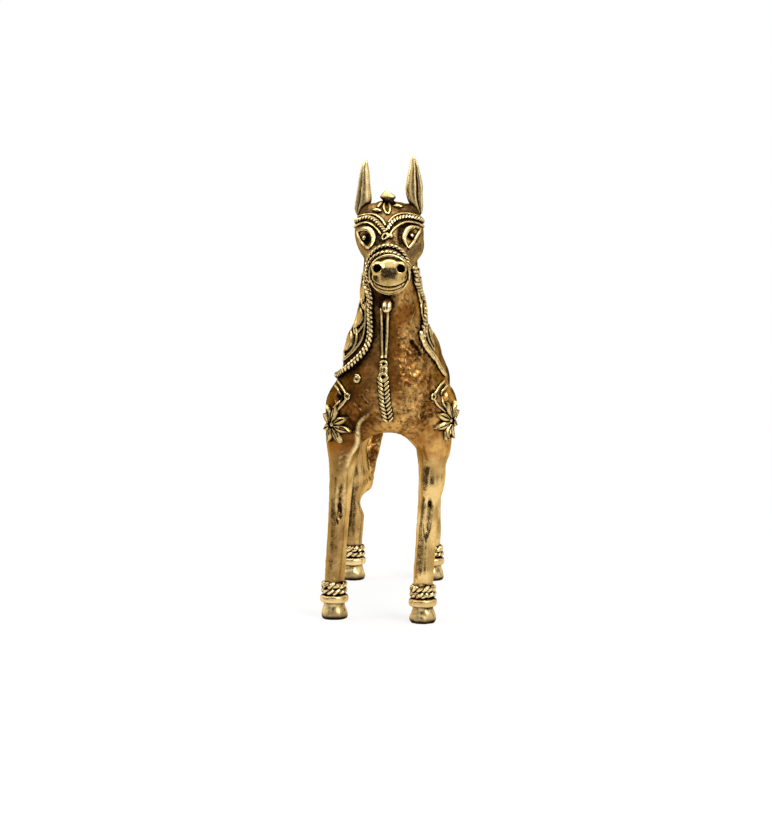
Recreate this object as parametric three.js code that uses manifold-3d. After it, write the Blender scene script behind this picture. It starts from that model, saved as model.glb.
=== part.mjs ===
// A brass horse figurine of the lost-wax kind: masses of wax over a clay core, dressed with rolled
// threads, twisted ropes, beads and leaves, every one of them a separate piece until the metal is poured.
// Millimetres and degrees, +Z up. The horse faces -Y, its left side is +X, and it stands on z = 0.
import * as THREE from "three";
import { mergeVertices } from "three/addons/utils/BufferGeometryUtils.js";
import Module from "manifold-3d";

const wasm = await Module();
wasm.setup();

// Driving dimensions: fits and stock
const SEAT_GAP = 0.3; // left between a piece and the piece that carries it
const SHELL_WALL = 3; // metal round the clay core
const VENT_WIDTH = 8; // hole in the belly that the core is rammed through
const THREAD = 0.8; // rolled plain thread, across
const ROPE = 1.5; // twisted rope, across
const ROPE_LAY = 2.1; // length of rope in which one strand takes the place of the next
const LEAF_THICK = 1.5; // small relief leaves, before they are pressed on

// Driving dimensions: feet and legs
const HOOF_HEIGHT = 5.6;
const HOOF_WIDTH = 8.9;
const ANKLE_WIDTH = 4.6;
const PLAIN_RING_HEIGHT = 2.2;
const PLAIN_RING_WIDTH = 9.3;
const ROPE_RING_HEIGHT = 3.8;
const ROPE_RING_WIDTH = 8.6;
const HOOF_WAIST = 6.4; // where the hoof meets the anklets
const SHANK_WIDTH = 6.9;
const SHANK_DEPTH = 7.3;
const KNEE_HEIGHT = 41;
const SHOULDER_WIDTH = 13; // fore leg at its top
const SHOULDER_DEPTH = 21;
const THIGH_WIDTH = 12.6; // hind leg at its top
const THIGH_DEPTH = 22.6;
const HOCK_BACK = 3; // the hock stands back from the line of the hind leg
const FORE_SPREAD = 29.2; // between the fore feet
const HIND_SPREAD = 28.6;
const FORE_LEAN = -5; // the feet stand this far to the horse's right of the shoulders
const HIND_LEAN = -2.6;
const HIND_SPLAY = 2.4; // each hind foot stands this far outside its hip
const FORE_LEG_Y = -38;
const FORE_STRIDE = 6; // the left fore foot stands this far ahead of the right one
const HIND_LEG_Y = 37;

// Driving dimensions: trunk and neck
const BELLY_HEIGHT = 62.3; // arch between the fore legs, above the floor
const BARREL_WIDTH = 30;
const BARREL_HEIGHT = 30.5;
const RUMP_WIDTH = 31.5;
const RUMP_HEIGHT = 32.1;
const RUMP_ROUND = 7; // depth of the rounding at the back
const RUMP_Y = 50;
const CHEST_WIDTH = 37.5;
const CHEST_DEPTH = 36;
const CHEST_Y = -35; // axis of the chest
const NECK_WIDTH = 18.4;
const NECK_DEPTH = 24.5;
const NECK_RISE = 72.2; // from the belly to the poll
const NECK_REACH = 9; // how far the neck leans forward

// Driving dimensions: head
const HEAD_LENGTH = 36; // muzzle root to back of skull
const HEAD_WIDTH = 21.4;
const HEAD_HEIGHT = 19.8;
const HEAD_PITCH = 28; // nose below level
const MUZZLE_WIDTH = 11.4;
const MUZZLE_LENGTH = 4.4;
const MOUTH_DROP = 3.6; // mouth below the middle of the muzzle
const MOUTH_GAPE = 0.7;
const NOSTRIL_WIDTH = 2.5;
const NOSTRIL_SPREAD = 7.2;
const EAR_LENGTHS = { left: 19.4, right: 17.8 };
const EAR_WIDTH = 5.4;
const EAR_DEPTH = 3.2;
const EYE_LENGTH = 7;
const EYE_WIDTH = 4.4;
const EYE_RIM = 1.2;
const EYEBALL_WIDTH = 2.2;

// Driving dimensions: ornaments
const TOPKNOT_WIDTH = 5;
const TOPKNOT_HEIGHT = 5;
const TREFOIL_LENGTH = 4.3;
const TREFOIL_WIDTH = 2.4;
const SMALL_RING = 1.9; // little wire rings, through the middle of the wire
const BEAD_WIDTH = 1.5;
const DROP_WIDTH = 3.6;
const DROP_LENGTH = 5.6;
const STRAP_WIDTH = 2.6;
const BRAID_WIDTH = 4.2;
const CREST_WIDTH = 3.3;
const PLATE_LENGTH = 7.6;
const PLATE_WIDTH = 7;
const PLATE_THICK = 2.1;
const PLATE_ROWS = 3;
const PETAL_LENGTH = 5.4;
const PETAL_WIDTH = 2.4;
const PETAL_THICK = 2.4;
const PETALS = 8;
const CHEVRON_SIZE = 4;
const TAIL_WIDTH = 6.4;
const TAIL_DEPTH = 4.6;
const SADDLE_LENGTH = 30;
const SADDLE_THICK = 1.4;

const { degToRad, radToDeg, clamp, lerp } = THREE.MathUtils;
const vec = (x, y, z) => new THREE.Vector3(x, y, z);
const SIDES = { left: 1, right: -1 };
// An angle measured on the horse's left, on the side asked for. 90 is the mid-line of every loft.
const sided = (side, angle) => (side > 0 ? angle : 180 - angle);

// Mesh helpers

function facingOut(geometry) {
  const p = geometry.getAttribute("position");
  const index = geometry.index.array;
  const [a, b, c] = [vec(), vec(), vec()];
  let volume = 0;
  for (let i = 0; i < index.length; i += 3) {
    a.fromBufferAttribute(p, index[i]);
    b.fromBufferAttribute(p, index[i + 1]);
    c.fromBufferAttribute(p, index[i + 2]);
    volume += a.dot(b.cross(c));
  }
  if (volume < 0) {
    for (let i = 0; i < index.length; i += 3) {
      [index[i + 1], index[i + 2]] = [index[i + 2], index[i + 1]];
    }
  }
  return geometry;
}

// A closed skin over rings of points: a point closes each end, or the last ring meets the first.
function skin(rings, start, end) {
  const sides = rings[0].length;
  const loop = !start;
  const points = rings.flat();
  const at = (ring, side) => (ring % rings.length) * sides + (side % sides);
  const index = [];
  for (let k = 0; k < sides; k++) {
    for (let r = 0; r < rings.length - (loop ? 0 : 1); r++) {
      index.push(at(r, k), at(r, k + 1), at(r + 1, k + 1));
      index.push(at(r, k), at(r + 1, k + 1), at(r + 1, k));
    }
    if (!loop) {
      index.push(points.length, at(0, k + 1), at(0, k));
      index.push(points.length + 1, at(rings.length - 1, k), at(rings.length - 1, k + 1));
    }
  }
  if (!loop) points.push(start, end);
  return facingOut(new THREE.BufferGeometry().setFromPoints(points).setIndex(index));
}

function bare(geometry) {
  const made = new THREE.BufferGeometry().setAttribute("position", geometry.getAttribute("position"));
  return mergeVertices(made.setIndex(geometry.index), 1e-4);
}

function solid(geometry) {
  const merged = bare(geometry);
  return new wasm.Manifold(
    new wasm.Mesh({
      numProp: 3,
      vertProperties: new Float32Array(merged.getAttribute("position").array),
      triVerts: new Uint32Array(merged.index.array),
    }),
  );
}

// The shape swollen evenly, as the space that its neighbours keep out of.
function grown(geometry, by) {
  const made = bare(geometry);
  made.computeVertexNormals();
  const p = made.getAttribute("position");
  const n = made.getAttribute("normal");
  for (let i = 0; i < p.count; i++) {
    p.setXYZ(i, p.getX(i) + by * n.getX(i), p.getY(i) + by * n.getY(i), p.getZ(i) + by * n.getZ(i));
  }
  return made;
}

const keepOuts = new Map();
function keepOut(geometry) {
  if (!keepOuts.has(geometry)) keepOuts.set(geometry, solid(grown(geometry, SEAT_GAP)));
  return keepOuts.get(geometry);
}

// A piece with its underside shaped to what carries it.
const seat = (geometry, ...carriers) =>
  carriers.reduce((rest, carrier) => rest.subtract(keepOut(carrier)), solid(geometry));

const union = (...geometries) => geometries.map(solid).reduce((all, next) => all.add(next));

function meshOf(made) {
  const { vertProperties, triVerts } = made.getMesh();
  const geometry = new THREE.BufferGeometry();
  geometry.setAttribute("position", new THREE.BufferAttribute(vertProperties, 3));
  return geometry.setIndex(new THREE.BufferAttribute(triVerts, 1));
}

// Lofts: elliptical sections along a spine that lies near the mid-plane

function through(keys, values, s) {
  const last = keys.length - 1;
  const upper = keys.findIndex((key, i) => i > 0 && s <= key);
  const i = upper < 0 ? last - 1 : upper - 1;
  const slope = (k) => {
    const [a, b] = [Math.max(k - 1, 0), Math.min(k + 1, last)];
    return (values[b] - values[a]) / (keys[b] - keys[a]);
  };
  const span = keys[i + 1] - keys[i];
  const u = clamp((s - keys[i]) / span, 0, 1);
  const rise = u * u * (3 - 2 * u);
  return (
    lerp(values[i], values[i + 1], rise) +
    span * (slope(i) * u * (1 - u) ** 2 - slope(i + 1) * u * u * (1 - u))
  );
}

class Loft {
  // Each station is { s, at: [x, y, z], half: [width, depth] }, with s from 0 to 1 along the spine.
  // `rings` is a number of even steps, or a list of the places of s to put a section at.
  constructor(stations, { rings, sides, startDome = 0, endDome = 0 }) {
    this.keys = stations.map((station) => station.s);
    this.places = [0, 1, 2].map((axis) => stations.map((station) => station.at[axis]));
    this.halves = [0, 1].map((axis) => stations.map((station) => station.half[axis]));
    this.length = this.centre(0).distanceTo(this.centre(1));
    this.girth = Math.max(...this.halves[0]);
    const evenly = (count) => Array.from({ length: count + 1 }, (_, i) => i / count);
    this.geometry = this.build(Array.isArray(rings) ? rings : evenly(rings), sides, startDome, endDome);
  }

  centre(s) {
    return vec(...this.places.map((values) => through(this.keys, values, s)));
  }

  half(s) {
    return this.halves.map((values) => through(this.keys, values, s));
  }

  along(s) {
    const step = 0.01;
    return this.centre(Math.min(s + step, 1)).sub(this.centre(Math.max(s - step, 0))).normalize();
  }

  // The direction of angle 90: up on a lying loft, forward on a standing one.
  up(s) {
    const along = this.along(s);
    return vec(0, -along.z, along.y).normalize();
  }

  point(s, angle, lift = 0) {
    const [width, depth] = this.half(s);
    const turn = degToRad(angle);
    const place = this.centre(s).addScaledVector(this.up(s), depth * Math.sin(turn));
    place.x += width * Math.cos(turn);
    return lift ? place.addScaledVector(this.normal(s, angle), lift) : place;
  }

  normal(s, angle) {
    const step = 0.01;
    const lengthwise = this.point(Math.min(s + step, 1), angle).sub(this.point(Math.max(s - step, 0), angle));
    const round = this.point(s, angle + 1).sub(this.point(s, angle - 1));
    const out = lengthwise.cross(round).normalize();
    return out.dot(this.point(s, angle).sub(this.centre(s))) < 0 ? out.negate() : out;
  }

  ring(s, sides, shrink = 1, shift = 0) {
    const middle = this.centre(s);
    const move = this.along(s).multiplyScalar(shift);
    return Array.from({ length: sides }, (_, k) =>
      this.point(s, (360 * k) / sides).sub(middle).multiplyScalar(shrink).add(middle).add(move),
    );
  }

  build(sections, sides, startDome, endDome) {
    const domeSteps = [30, 60].map(degToRad);
    const made = sections.map((s) => this.ring(s, sides));
    const dome = (s, depth) => domeSteps.map((a) => this.ring(s, sides, Math.cos(a), depth * Math.sin(a)));
    if (startDome) made.unshift(...dome(0, -startDome).reverse());
    if (endDome) made.push(...dome(1, endDome));
    const start = this.centre(0).addScaledVector(this.along(0), -startDome);
    return skin(made, start, this.centre(1).addScaledVector(this.along(1), endDome));
  }
}

// Trails, cords and reliefs that lie on a loft

// A smooth path of [s, angle] stops, drawn on the loft's skin as if it were rolled out flat.
function chartOf(loft, stops, loop = false) {
  const flat = stops.map(([s, angle]) => vec(s * loft.length, degToRad(angle) * loft.girth, 0));
  return new THREE.CatmullRomCurve3(flat, loop);
}

const stopAt = (loft, q) => [clamp(q.x / loft.length, 0, 1), radToDeg(q.y / loft.girth)];

// Places and outward directions along such a path, about `step` apart.
function trailOn(loft, stops, lift, step, loop = false) {
  const chart = chartOf(loft, stops, loop);
  const places = chart.getSpacedPoints(Math.ceil(chart.getLength() / step));
  if (loop) places.pop();
  return places.map((q) => {
    const [s, angle] = stopAt(loft, q);
    return { p: loft.point(s, angle, lift), n: loft.normal(s, angle) };
  });
}

// The same path moved sideways by so many millimetres.
function beside(loft, stops, distance) {
  const chart = chartOf(loft, stops);
  return chart.points.map((q, i) => {
    const way = chart.getTangent(i / (stops.length - 1));
    return stopAt(loft, q.clone().add(vec(way.y, -way.x, 0).setLength(distance)));
  });
}

// A cord along a trail. One of few sides that turns at each step is a twisted rope.
function cord(trail, width, { sides = 6, flat = 1, turn = 0, loop = false } = {}) {
  const last = trail.length - 1;
  const neighbour = (i) => trail[loop ? (i + trail.length) % trail.length : clamp(i, 0, last)].p;
  const rings = trail.map(({ p, n }, i) => {
    const along = neighbour(i + 1).clone().sub(neighbour(i - 1)).normalize();
    const across = along.clone().cross(n).normalize();
    const out = across.clone().cross(along);
    return Array.from({ length: sides }, (_, k) => {
      const a = (2 * Math.PI * k) / sides;
      const [u, v] = [(width / 2) * Math.cos(a), (width / 2) * flat * Math.sin(a)];
      const t = degToRad(turn * i);
      return p
        .clone()
        .addScaledVector(across, u * Math.cos(t) - v * Math.sin(t))
        .addScaledVector(out, u * Math.sin(t) + v * Math.cos(t));
    });
  });
  if (loop) return skin(rings);
  const end = (i, j) => trail[i].p.clone().add(trail[i].p.clone().sub(trail[j].p).setLength(width / 4));
  return skin(rings, end(0, 1), end(last, last - 1));
}

// Ropes are four-stranded, and ropes and threads lie just clear of the skin below them.
const STRANDS = 4;
const TWIST_STEPS = 2; // steps to one lay of a rope
const ropeStep = ROPE_LAY / TWIST_STEPS;
const ropeLift = ROPE / 2 + SEAT_GAP;
const threadStep = THREAD * 2.2;
const threadLift = THREAD / 2 + SEAT_GAP;
const twisted = { sides: STRANDS, turn: 360 / STRANDS / TWIST_STEPS };
const ropeOn = (loft, stops) => cord(trailOn(loft, stops, ropeLift, ropeStep), ROPE, twisted);
const threadOn = (loft, stops) => cord(trailOn(loft, stops, threadLift, threadStep), THREAD, { sides: 4 });

// A shape drawn flat, with +z outward, laid on a loft at [s, angle] and turned by spin about the normal.
function laid(geometry, loft, s, angle, spin = 0, lift = 0) {
  const out = loft.normal(s, angle);
  const along = loft.along(s);
  const y = along.addScaledVector(out, -along.dot(out)).normalize();
  const place = new THREE.Matrix4().makeBasis(y.clone().cross(out), y, out);
  place.setPosition(loft.point(s, angle, lift));
  return geometry.clone().rotateZ(degToRad(spin)).applyMatrix4(place);
}

// A leaf outline from its base at the origin to its tip along +y.
function leafShape(length, width) {
  const leaf = new THREE.Shape().moveTo(0, 0);
  leaf.quadraticCurveTo(width, length * 0.45, 0, length);
  leaf.quadraticCurveTo(-width, length * 0.45, 0, 0);
  return leaf;
}

function slab(shape, thick) {
  const made = new THREE.ExtrudeGeometry(shape, { depth: thick, bevelEnabled: false, curveSegments: 5 });
  return made.translate(0, 0, -thick / 2);
}

// A turned piece on a vertical axis, from a closed profile of [radius, height].
function turned(profile, segments) {
  const outline = profile.map(([r, z]) => new THREE.Vector2(r, z));
  return new THREE.LatheGeometry(outline, segments).rotateX(Math.PI / 2);
}

// The finished group

const horse = new THREE.Group();
horse.name = "brass_horse";

const POLISHED = { color: 0xd2ad5e, roughness: 0.28 };
const WORN = { color: 0xb98d43, roughness: 0.36 };
const ANTIQUE = { color: 0x7d5628, roughness: 0.45 };
const CLAY = { color: 0x5c4434, roughness: 0.95 };

function piece(name, made, look) {
  const geometry = made.isBufferGeometry ? made : meshOf(made);
  const metalness = look === CLAY ? 0 : 1;
  const mesh = new THREE.Mesh(geometry, new THREE.MeshStandardMaterial({ ...look, metalness }));
  mesh.name = name;
  horse.add(mesh);
}

// Masses

const barrelZ = BELLY_HEIGHT + 1.5 + BARREL_HEIGHT / 2;
const barrelHalf = [BARREL_WIDTH / 2, BARREL_HEIGHT / 2];
const rumpHalf = [RUMP_WIDTH / 2, RUMP_HEIGHT / 2];
const barrelBack = RUMP_Y - RUMP_ROUND;
const barrelY = (s) => lerp(CHEST_Y, barrelBack, s);
const barrelStations = [
  { s: 0, at: [0, barrelY(0), barrelZ], half: barrelHalf },
  { s: 0.35, at: [0, barrelY(0.35), barrelZ - 0.6], half: barrelHalf },
  { s: 0.6, at: [0, barrelY(0.6), barrelZ - 0.8], half: barrelHalf },
  { s: 0.86, at: [0, barrelY(0.86), barrelZ], half: rumpHalf },
  { s: 1, at: [0, barrelY(1), barrelZ + 0.5], half: rumpHalf.map((half) => half * 0.84) },
];
const barrel = new Loft(barrelStations, { rings: 10, sides: 22, endDome: RUMP_ROUND });

const neckShape = [
  // share of the rise, width and depth as shares from neck (0) to chest (1), forward lean
  { s: 0, w: 0.6, d: 0.08, lean: 0 },
  { s: 0.07, w: 0.94, d: 0.62, lean: 0.02 },
  { s: 0.15, w: 0.97, d: 0.94, lean: 0.02 },
  { s: 0.22, w: 0.85, d: 1, lean: 0 },
  { s: 0.3, w: 0.61, d: 0.89, lean: 0.03 },
  { s: 0.4, w: 0.36, d: 0.6, lean: 0.14 },
  { s: 0.5, w: 0.18, d: 0.32, lean: 0.32 },
  { s: 0.62, w: 0.02, d: 0.11, lean: 0.55 },
  { s: 0.8, w: -0.08, d: -0.03, lean: 0.82 },
  { s: 1, w: -0.25, d: -0.5, lean: 1 },
];
const neckBottom = 2; // rounding under the chest
const neckZ = (s) => lerp(BELLY_HEIGHT + neckBottom, BELLY_HEIGHT + NECK_RISE, s);
const neck = new Loft(
  neckShape.map(({ s, w, d, lean }) => ({
    s,
    at: [0, CHEST_Y - NECK_REACH * lean, neckZ(s)],
    half: [lerp(NECK_WIDTH, CHEST_WIDTH, w) / 2, lerp(NECK_DEPTH, CHEST_DEPTH, d) / 2],
  })),
  { rings: 17, sides: 24, startDome: neckBottom, endDome: 2.5 },
);

const headBack = neck.centre(0.96).add(vec(0, 4, 0));
const headAxis = vec(0, Math.cos(degToRad(HEAD_PITCH)), Math.sin(degToRad(HEAD_PITCH)));
const headFront = headBack.clone().addScaledVector(headAxis, -HEAD_LENGTH);
const headShape = [
  // share of the length from the muzzle, and the share of full width and height
  { s: 0, w: 0, h: 0 },
  { s: 0.1, w: 0.08, h: 0.1 },
  { s: 0.22, w: 0.22, h: 0.26 },
  { s: 0.39, w: 0.47, h: 0.5 },
  { s: 0.56, w: 0.84, h: 0.85 },
  { s: 0.7, w: 1, h: 1 },
  { s: 0.84, w: 0.87, h: 0.85 },
  { s: 1, w: 0.45, h: 0.42 },
];
const head = new Loft(
  headShape.map(({ s, w, h }) => ({
    s,
    at: headFront.clone().addScaledVector(headAxis, HEAD_LENGTH * s).toArray(),
    half: [lerp(MUZZLE_WIDTH, HEAD_WIDTH, w) / 2, lerp(MUZZLE_WIDTH, HEAD_HEIGHT, h) / 2],
  })),
  { rings: 13, sides: 22, endDome: 5 },
);

// Feet and legs

const ankletBase = HOOF_HEIGHT + SEAT_GAP;
const plainRingTop = ankletBase + PLAIN_RING_HEIGHT;
const ropeRingBase = plainRingTop + SEAT_GAP;
const ankletTop = ropeRingBase + ROPE_RING_HEIGHT;

function legLoft(side, { spread, splay, lean, stride, footY: squareFootY, topY, topZ, topHalf, kneeBack }) {
  const raised = (z) => Math.max(z, ankletTop) / topZ;
  const x = (z) => side * (spread / 2 - splay * raised(z)) + lean * (1 - raised(z));
  const footY = squareFootY - (side * stride) / 2;
  const kneeY = lerp(footY, topY, 0.3) + kneeBack;
  const station = (s, y, z, half) => ({ s, at: [x(z), y, z], half });
  const ankle = [ANKLE_WIDTH / 2, ANKLE_WIDTH / 2];
  const shank = [SHANK_WIDTH / 2, SHANK_DEPTH / 2];
  const above = (share) => lerp(KNEE_HEIGHT, topZ, share);
  const toTop = (share) => topHalf.map((half, i) => lerp(shank[i], half, share));
  return new Loft(
    [
      station(0, footY, ankletBase, ankle),
      station(0.1, footY, ankletTop, ankle),
      station(0.15, footY, ankletTop + SHANK_WIDTH / 4, shank),
      station(0.35, lerp(footY, kneeY, 0.5), lerp(ankletTop, KNEE_HEIGHT, 0.5), shank),
      station(0.55, kneeY, KNEE_HEIGHT, toTop(0.1)),
      station(0.7, lerp(kneeY, topY, 0.4), above(0.35), toTop(0.38)),
      station(0.85, lerp(kneeY, topY, 0.75), above(0.65), toTop(0.88)),
      station(1, topY, topZ, topHalf),
    ],
    { rings: [0, 0.1, 0.15, 0.35, 0.45, 0.55, 0.63, 0.7, 0.78, 0.85, 0.93, 1], sides: 11, endDome: 5 },
  );
}

const legKinds = {
  fore: {
    spread: FORE_SPREAD,
    splay: 0,
    lean: FORE_LEAN,
    stride: FORE_STRIDE,
    footY: FORE_LEG_Y,
    kneeBack: 0,
    topY: CHEST_Y,
    topZ: neckZ(0.1),
    topHalf: [SHOULDER_WIDTH / 2, SHOULDER_DEPTH / 2],
  },
  hind: {
    spread: HIND_SPREAD,
    splay: HIND_SPLAY,
    lean: HIND_LEAN,
    stride: 0,
    footY: HIND_LEG_Y,
    kneeBack: HOCK_BACK,
    topY: barrelBack - THIGH_DEPTH / 2 + HOCK_BACK,
    topZ: barrelZ - BARREL_HEIGHT * 0.22,
    topHalf: [THIGH_WIDTH / 2, THIGH_DEPTH / 2],
  },
};

// A ring with as many outward bulges as asked, bored to slide over the ankle.
function anklet(base, height, width, bulges) {
  const bore = ANKLE_WIDTH / 2 + SEAT_GAP;
  const each = height / bulges;
  const belly = Math.min(each / 2, (width / 2 - bore) * 0.7);
  const profile = [[bore, base]];
  for (let b = 0; b < bulges; b++) {
    for (const a of [-60, 0, 60].map(degToRad)) {
      profile.push([width / 2 - belly + belly * Math.cos(a), base + each * (b + 0.5 + Math.sin(a) / 2)]);
    }
  }
  profile.push([bore, base + height], [bore, base]);
  return turned(profile, 12);
}

function hoof() {
  const [sole, waist] = [HOOF_WIDTH / 2, HOOF_WAIST / 2];
  return turned(
    [
      [0, 0],
      [sole - 0.3, 0],
      [sole, HOOF_HEIGHT * 0.16],
      [lerp(sole, waist, 0.6), HOOF_HEIGHT * 0.6],
      [waist, HOOF_HEIGHT],
      [0, HOOF_HEIGHT],
    ],
    14,
  );
}

const legs = {};
for (const [end, kind] of Object.entries(legKinds)) {
  for (const [sideName, side] of Object.entries(SIDES)) {
    const name = `${end}_leg_${sideName}`;
    const leg = legLoft(side, kind);
    legs[name] = leg;
    const foot = leg.centre(0);
    const standing = (geometry) => geometry.translate(foot.x, foot.y, 0);
    piece(name, seat(leg.geometry, neck.geometry, barrel.geometry), WORN);
    piece(`${end}_hoof_${sideName}`, standing(hoof()), POLISHED);
    const plainRing = anklet(ankletBase, PLAIN_RING_HEIGHT, PLAIN_RING_WIDTH, 1);
    piece(`${end}_plain_anklet_${sideName}`, standing(plainRing), POLISHED);
    const ropeRing = anklet(ropeRingBase, ROPE_RING_HEIGHT, ROPE_RING_WIDTH, 2);
    piece(`${end}_rope_anklet_${sideName}`, standing(ropeRing), WORN);
  }
}

// Trunk: a shell round a clay core that was rammed in through the belly

const cavityStart = neck.centre(0.32).y + CHEST_DEPTH / 2 + SHELL_WALL;
const cavityHalf = (less) => barrelHalf.map((half) => half - SHELL_WALL - less);
const cavityEndDome = 6;

function coreLoft(less) {
  const ends = [cavityStart + less, barrelBack - SHELL_WALL - less];
  const station = (s, share) => ({
    s,
    at: [0, lerp(ends[0], ends[1], s), barrelZ - 0.4],
    half: cavityHalf(less).map((half) => half * share),
  });
  return new Loft([station(0, 0.7), station(0.15, 0.96), station(0.6, 1), station(1, 0.8)], {
    rings: 6,
    sides: 16,
    endDome: cavityEndDome - SHELL_WALL,
  });
}

const ventY = lerp(cavityStart, barrelBack, 0.45);
const vent = (width, low) => {
  const length = barrelZ - low;
  return new THREE.CylinderGeometry(width / 2, width / 2, length, 16)
    .rotateX(Math.PI / 2)
    .translate(0, ventY, low + length / 2);
};
const bellyAtVent = barrelZ - BARREL_HEIGHT / 2;
const shell = seat(barrel.geometry, neck.geometry)
  .subtract(solid(coreLoft(0).geometry))
  .subtract(solid(vent(VENT_WIDTH, bellyAtVent - SHELL_WALL)));
piece("barrel", shell, ANTIQUE);
piece("clay_core", union(coreLoft(SEAT_GAP).geometry, vent(VENT_WIDTH - 2 * SEAT_GAP, bellyAtVent)), CLAY);
piece("chest_and_neck", seat(neck.geometry, head.geometry), ANTIQUE);
piece("head", head.geometry, WORN);

// Muzzle and jaw, in a frame at the front of the head: x across, y up the face, z out of the nose

const noseFrame = new THREE.Matrix4()
  .makeBasis(vec(1, 0, 0), head.up(0), headAxis.clone().negate())
  .setPosition(headFront);
const onNose = (geometry) => geometry.applyMatrix4(noseFrame);
const muzzleRadius = MUZZLE_WIDTH / 2;

function muzzleBlock() {
  const profile = [
    [0, SEAT_GAP],
    [muzzleRadius * 0.98, SEAT_GAP],
    [muzzleRadius, MUZZLE_LENGTH * 0.3],
    [muzzleRadius * 0.93, MUZZLE_LENGTH * 0.62],
    [muzzleRadius * 0.72, MUZZLE_LENGTH * 0.87],
    [muzzleRadius * 0.4, MUZZLE_LENGTH * 0.97],
    [0, MUZZLE_LENGTH],
  ];
  return turned(profile, 24);
}

// A block that takes away the muzzle from `edge` upwards (way 1) or downwards (way -1).
function mouthCut(edge, way) {
  const size = 2 * MUZZLE_WIDTH;
  return solid(new THREE.BoxGeometry(size, size, size).translate(0, edge + (way * size) / 2, 0));
}

function nostril(side) {
  const depth = MUZZLE_LENGTH;
  return solid(
    new THREE.CylinderGeometry(NOSTRIL_WIDTH / 2, NOSTRIL_WIDTH / 2, depth, 10)
      .rotateX(Math.PI / 2)
      .translate((side * NOSTRIL_SPREAD) / 2, muzzleRadius * 0.28, MUZZLE_LENGTH * 0.45 + depth / 2),
  );
}

const mouthTop = -MOUTH_DROP + MOUTH_GAPE / 2;
const mouthBottom = -MOUTH_DROP - MOUTH_GAPE / 2;
const snout = solid(muzzleBlock())
  .subtract(mouthCut(mouthTop, -1))
  .subtract(nostril(SIDES.left))
  .subtract(nostril(SIDES.right));
piece("muzzle", onNose(meshOf(snout)), POLISHED);
piece("lower_jaw", onNose(meshOf(solid(muzzleBlock()).subtract(mouthCut(mouthBottom, 1)))), POLISHED);

// Threads and ropes on the face

const noseThreadAt = (THREAD * 1.6) / HEAD_LENGTH;
const nosebandStart = noseThreadAt + (THREAD / 2 + ROPE / 2 + 3 * SEAT_GAP) / HEAD_LENGTH;
const nosebandAt = [0, 1].map((row) => nosebandStart + (row * (ROPE + 3 * SEAT_GAP)) / HEAD_LENGTH);
const hoop = (s, from, to) => [0, 0.25, 0.5, 0.75, 1].map((u) => [s, lerp(from, to, u)]);

piece("muzzle_thread", threadOn(head, hoop(noseThreadAt, -40, 220)), POLISHED);
nosebandAt.forEach((s, row) => {
  piece(`noseband_rope_${row + 1}`, ropeOn(head, hoop(s, -25, 205)), WORN);
});

// The chin thread runs round the lower lip, on the jaw.
const lipSteps = 14;
const lip = Array.from({ length: lipSteps + 1 }, (_, i) => {
  const angle = degToRad(lerp(205, 335, i / lipSteps));
  const out = vec(Math.cos(angle), Math.sin(angle), 0);
  return { p: out.clone().multiplyScalar(muzzleRadius + threadLift), n: out };
});
const chinThread = cord(lip, THREAD).translate(0, 0, MUZZLE_LENGTH * 0.35);
piece("chin_thread", seat(onNose(chinThread), head.geometry), POLISHED);

// The brow: a rope between two threads, arched over each eye and meeting in a point between them
const browArch = [
  // share of the head's length from the muzzle, and angle on the horse's left
  [0.66, 20],
  [0.685, 42],
  [0.64, 62],
  [0.54, 77],
  [0.43, 90],
];
const browStops = [...browArch, ...browArch.slice(0, -1).reverse().map(([s, angle]) => [s, 180 - angle])];
const browStep = (ROPE + THREAD) / 2 + SEAT_GAP;
piece("brow_rope", ropeOn(head, browStops), WORN);
piece("brow_upper_thread", threadOn(head, beside(head, browStops, browStep)), POLISHED);
piece("brow_lower_thread", threadOn(head, beside(head, browStops, -browStep)), POLISHED);

// Forehead ring, bead and trefoil
const wireRing = () => new THREE.TorusGeometry(SMALL_RING / 2, THREAD / 2, 5, 10);
const ringAt = 0.32;
piece("forehead_ring", seat(laid(wireRing(), head, ringAt, 90, 0, threadLift), head.geometry), POLISHED);
const bead = new THREE.SphereGeometry(BEAD_WIDTH / 2, 8, 6);
const beadOff = (SMALL_RING + THREAD + BEAD_WIDTH) / 2 + SEAT_GAP;
const beadAngle = 90 - radToDeg(beadOff / head.half(ringAt)[0]);
piece("forehead_bead", seat(laid(bead, head, ringAt, beadAngle, 0, BEAD_WIDTH / 4), head.geometry), POLISHED);

const trefoilLeaf = slab(leafShape(TREFOIL_LENGTH, TREFOIL_WIDTH), LEAF_THICK);
const trefoil = [-62, 0, 62].map((spin) => trefoilLeaf.clone().rotateZ(degToRad(spin)));
const trefoilAt = 0.67;
piece("forehead_trefoil", seat(laid(meshOf(union(...trefoil)), head, trefoilAt, 90), head.geometry), WORN);

// Eyes: an almond of thread, with a ball in it, slanting from the temple down to the nose
const eyeAt = { s: 0.43, angle: 48, spin: -36 };
function almond(t) {
  const a = 2 * Math.PI * t;
  const pinch = Math.abs(Math.cos(a / 2)) ** 0.6;
  return vec((EYE_WIDTH / 2) * Math.sin(a) * pinch, (EYE_LENGTH / 2) * Math.cos(a), 0);
}
const rimSteps = 14;
for (const [sideName, side] of Object.entries(SIDES)) {
  const spot = [head, eyeAt.s, sided(side, eyeAt.angle), side * eyeAt.spin];
  const trail = Array.from({ length: rimSteps }, (_, i) => ({ p: almond(i / rimSteps), n: vec(0, 0, 1) }));
  const rim = laid(cord(trail, EYE_RIM, { loop: true }), ...spot, EYE_RIM / 8);
  piece(`eye_rim_${sideName}`, seat(rim, head.geometry), POLISHED);
  const ball = laid(new THREE.SphereGeometry(EYEBALL_WIDTH / 2, 8, 6), ...spot, EYEBALL_WIDTH / 6);
  piece(`eyeball_${sideName}`, seat(ball, head.geometry), POLISHED);
}

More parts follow.
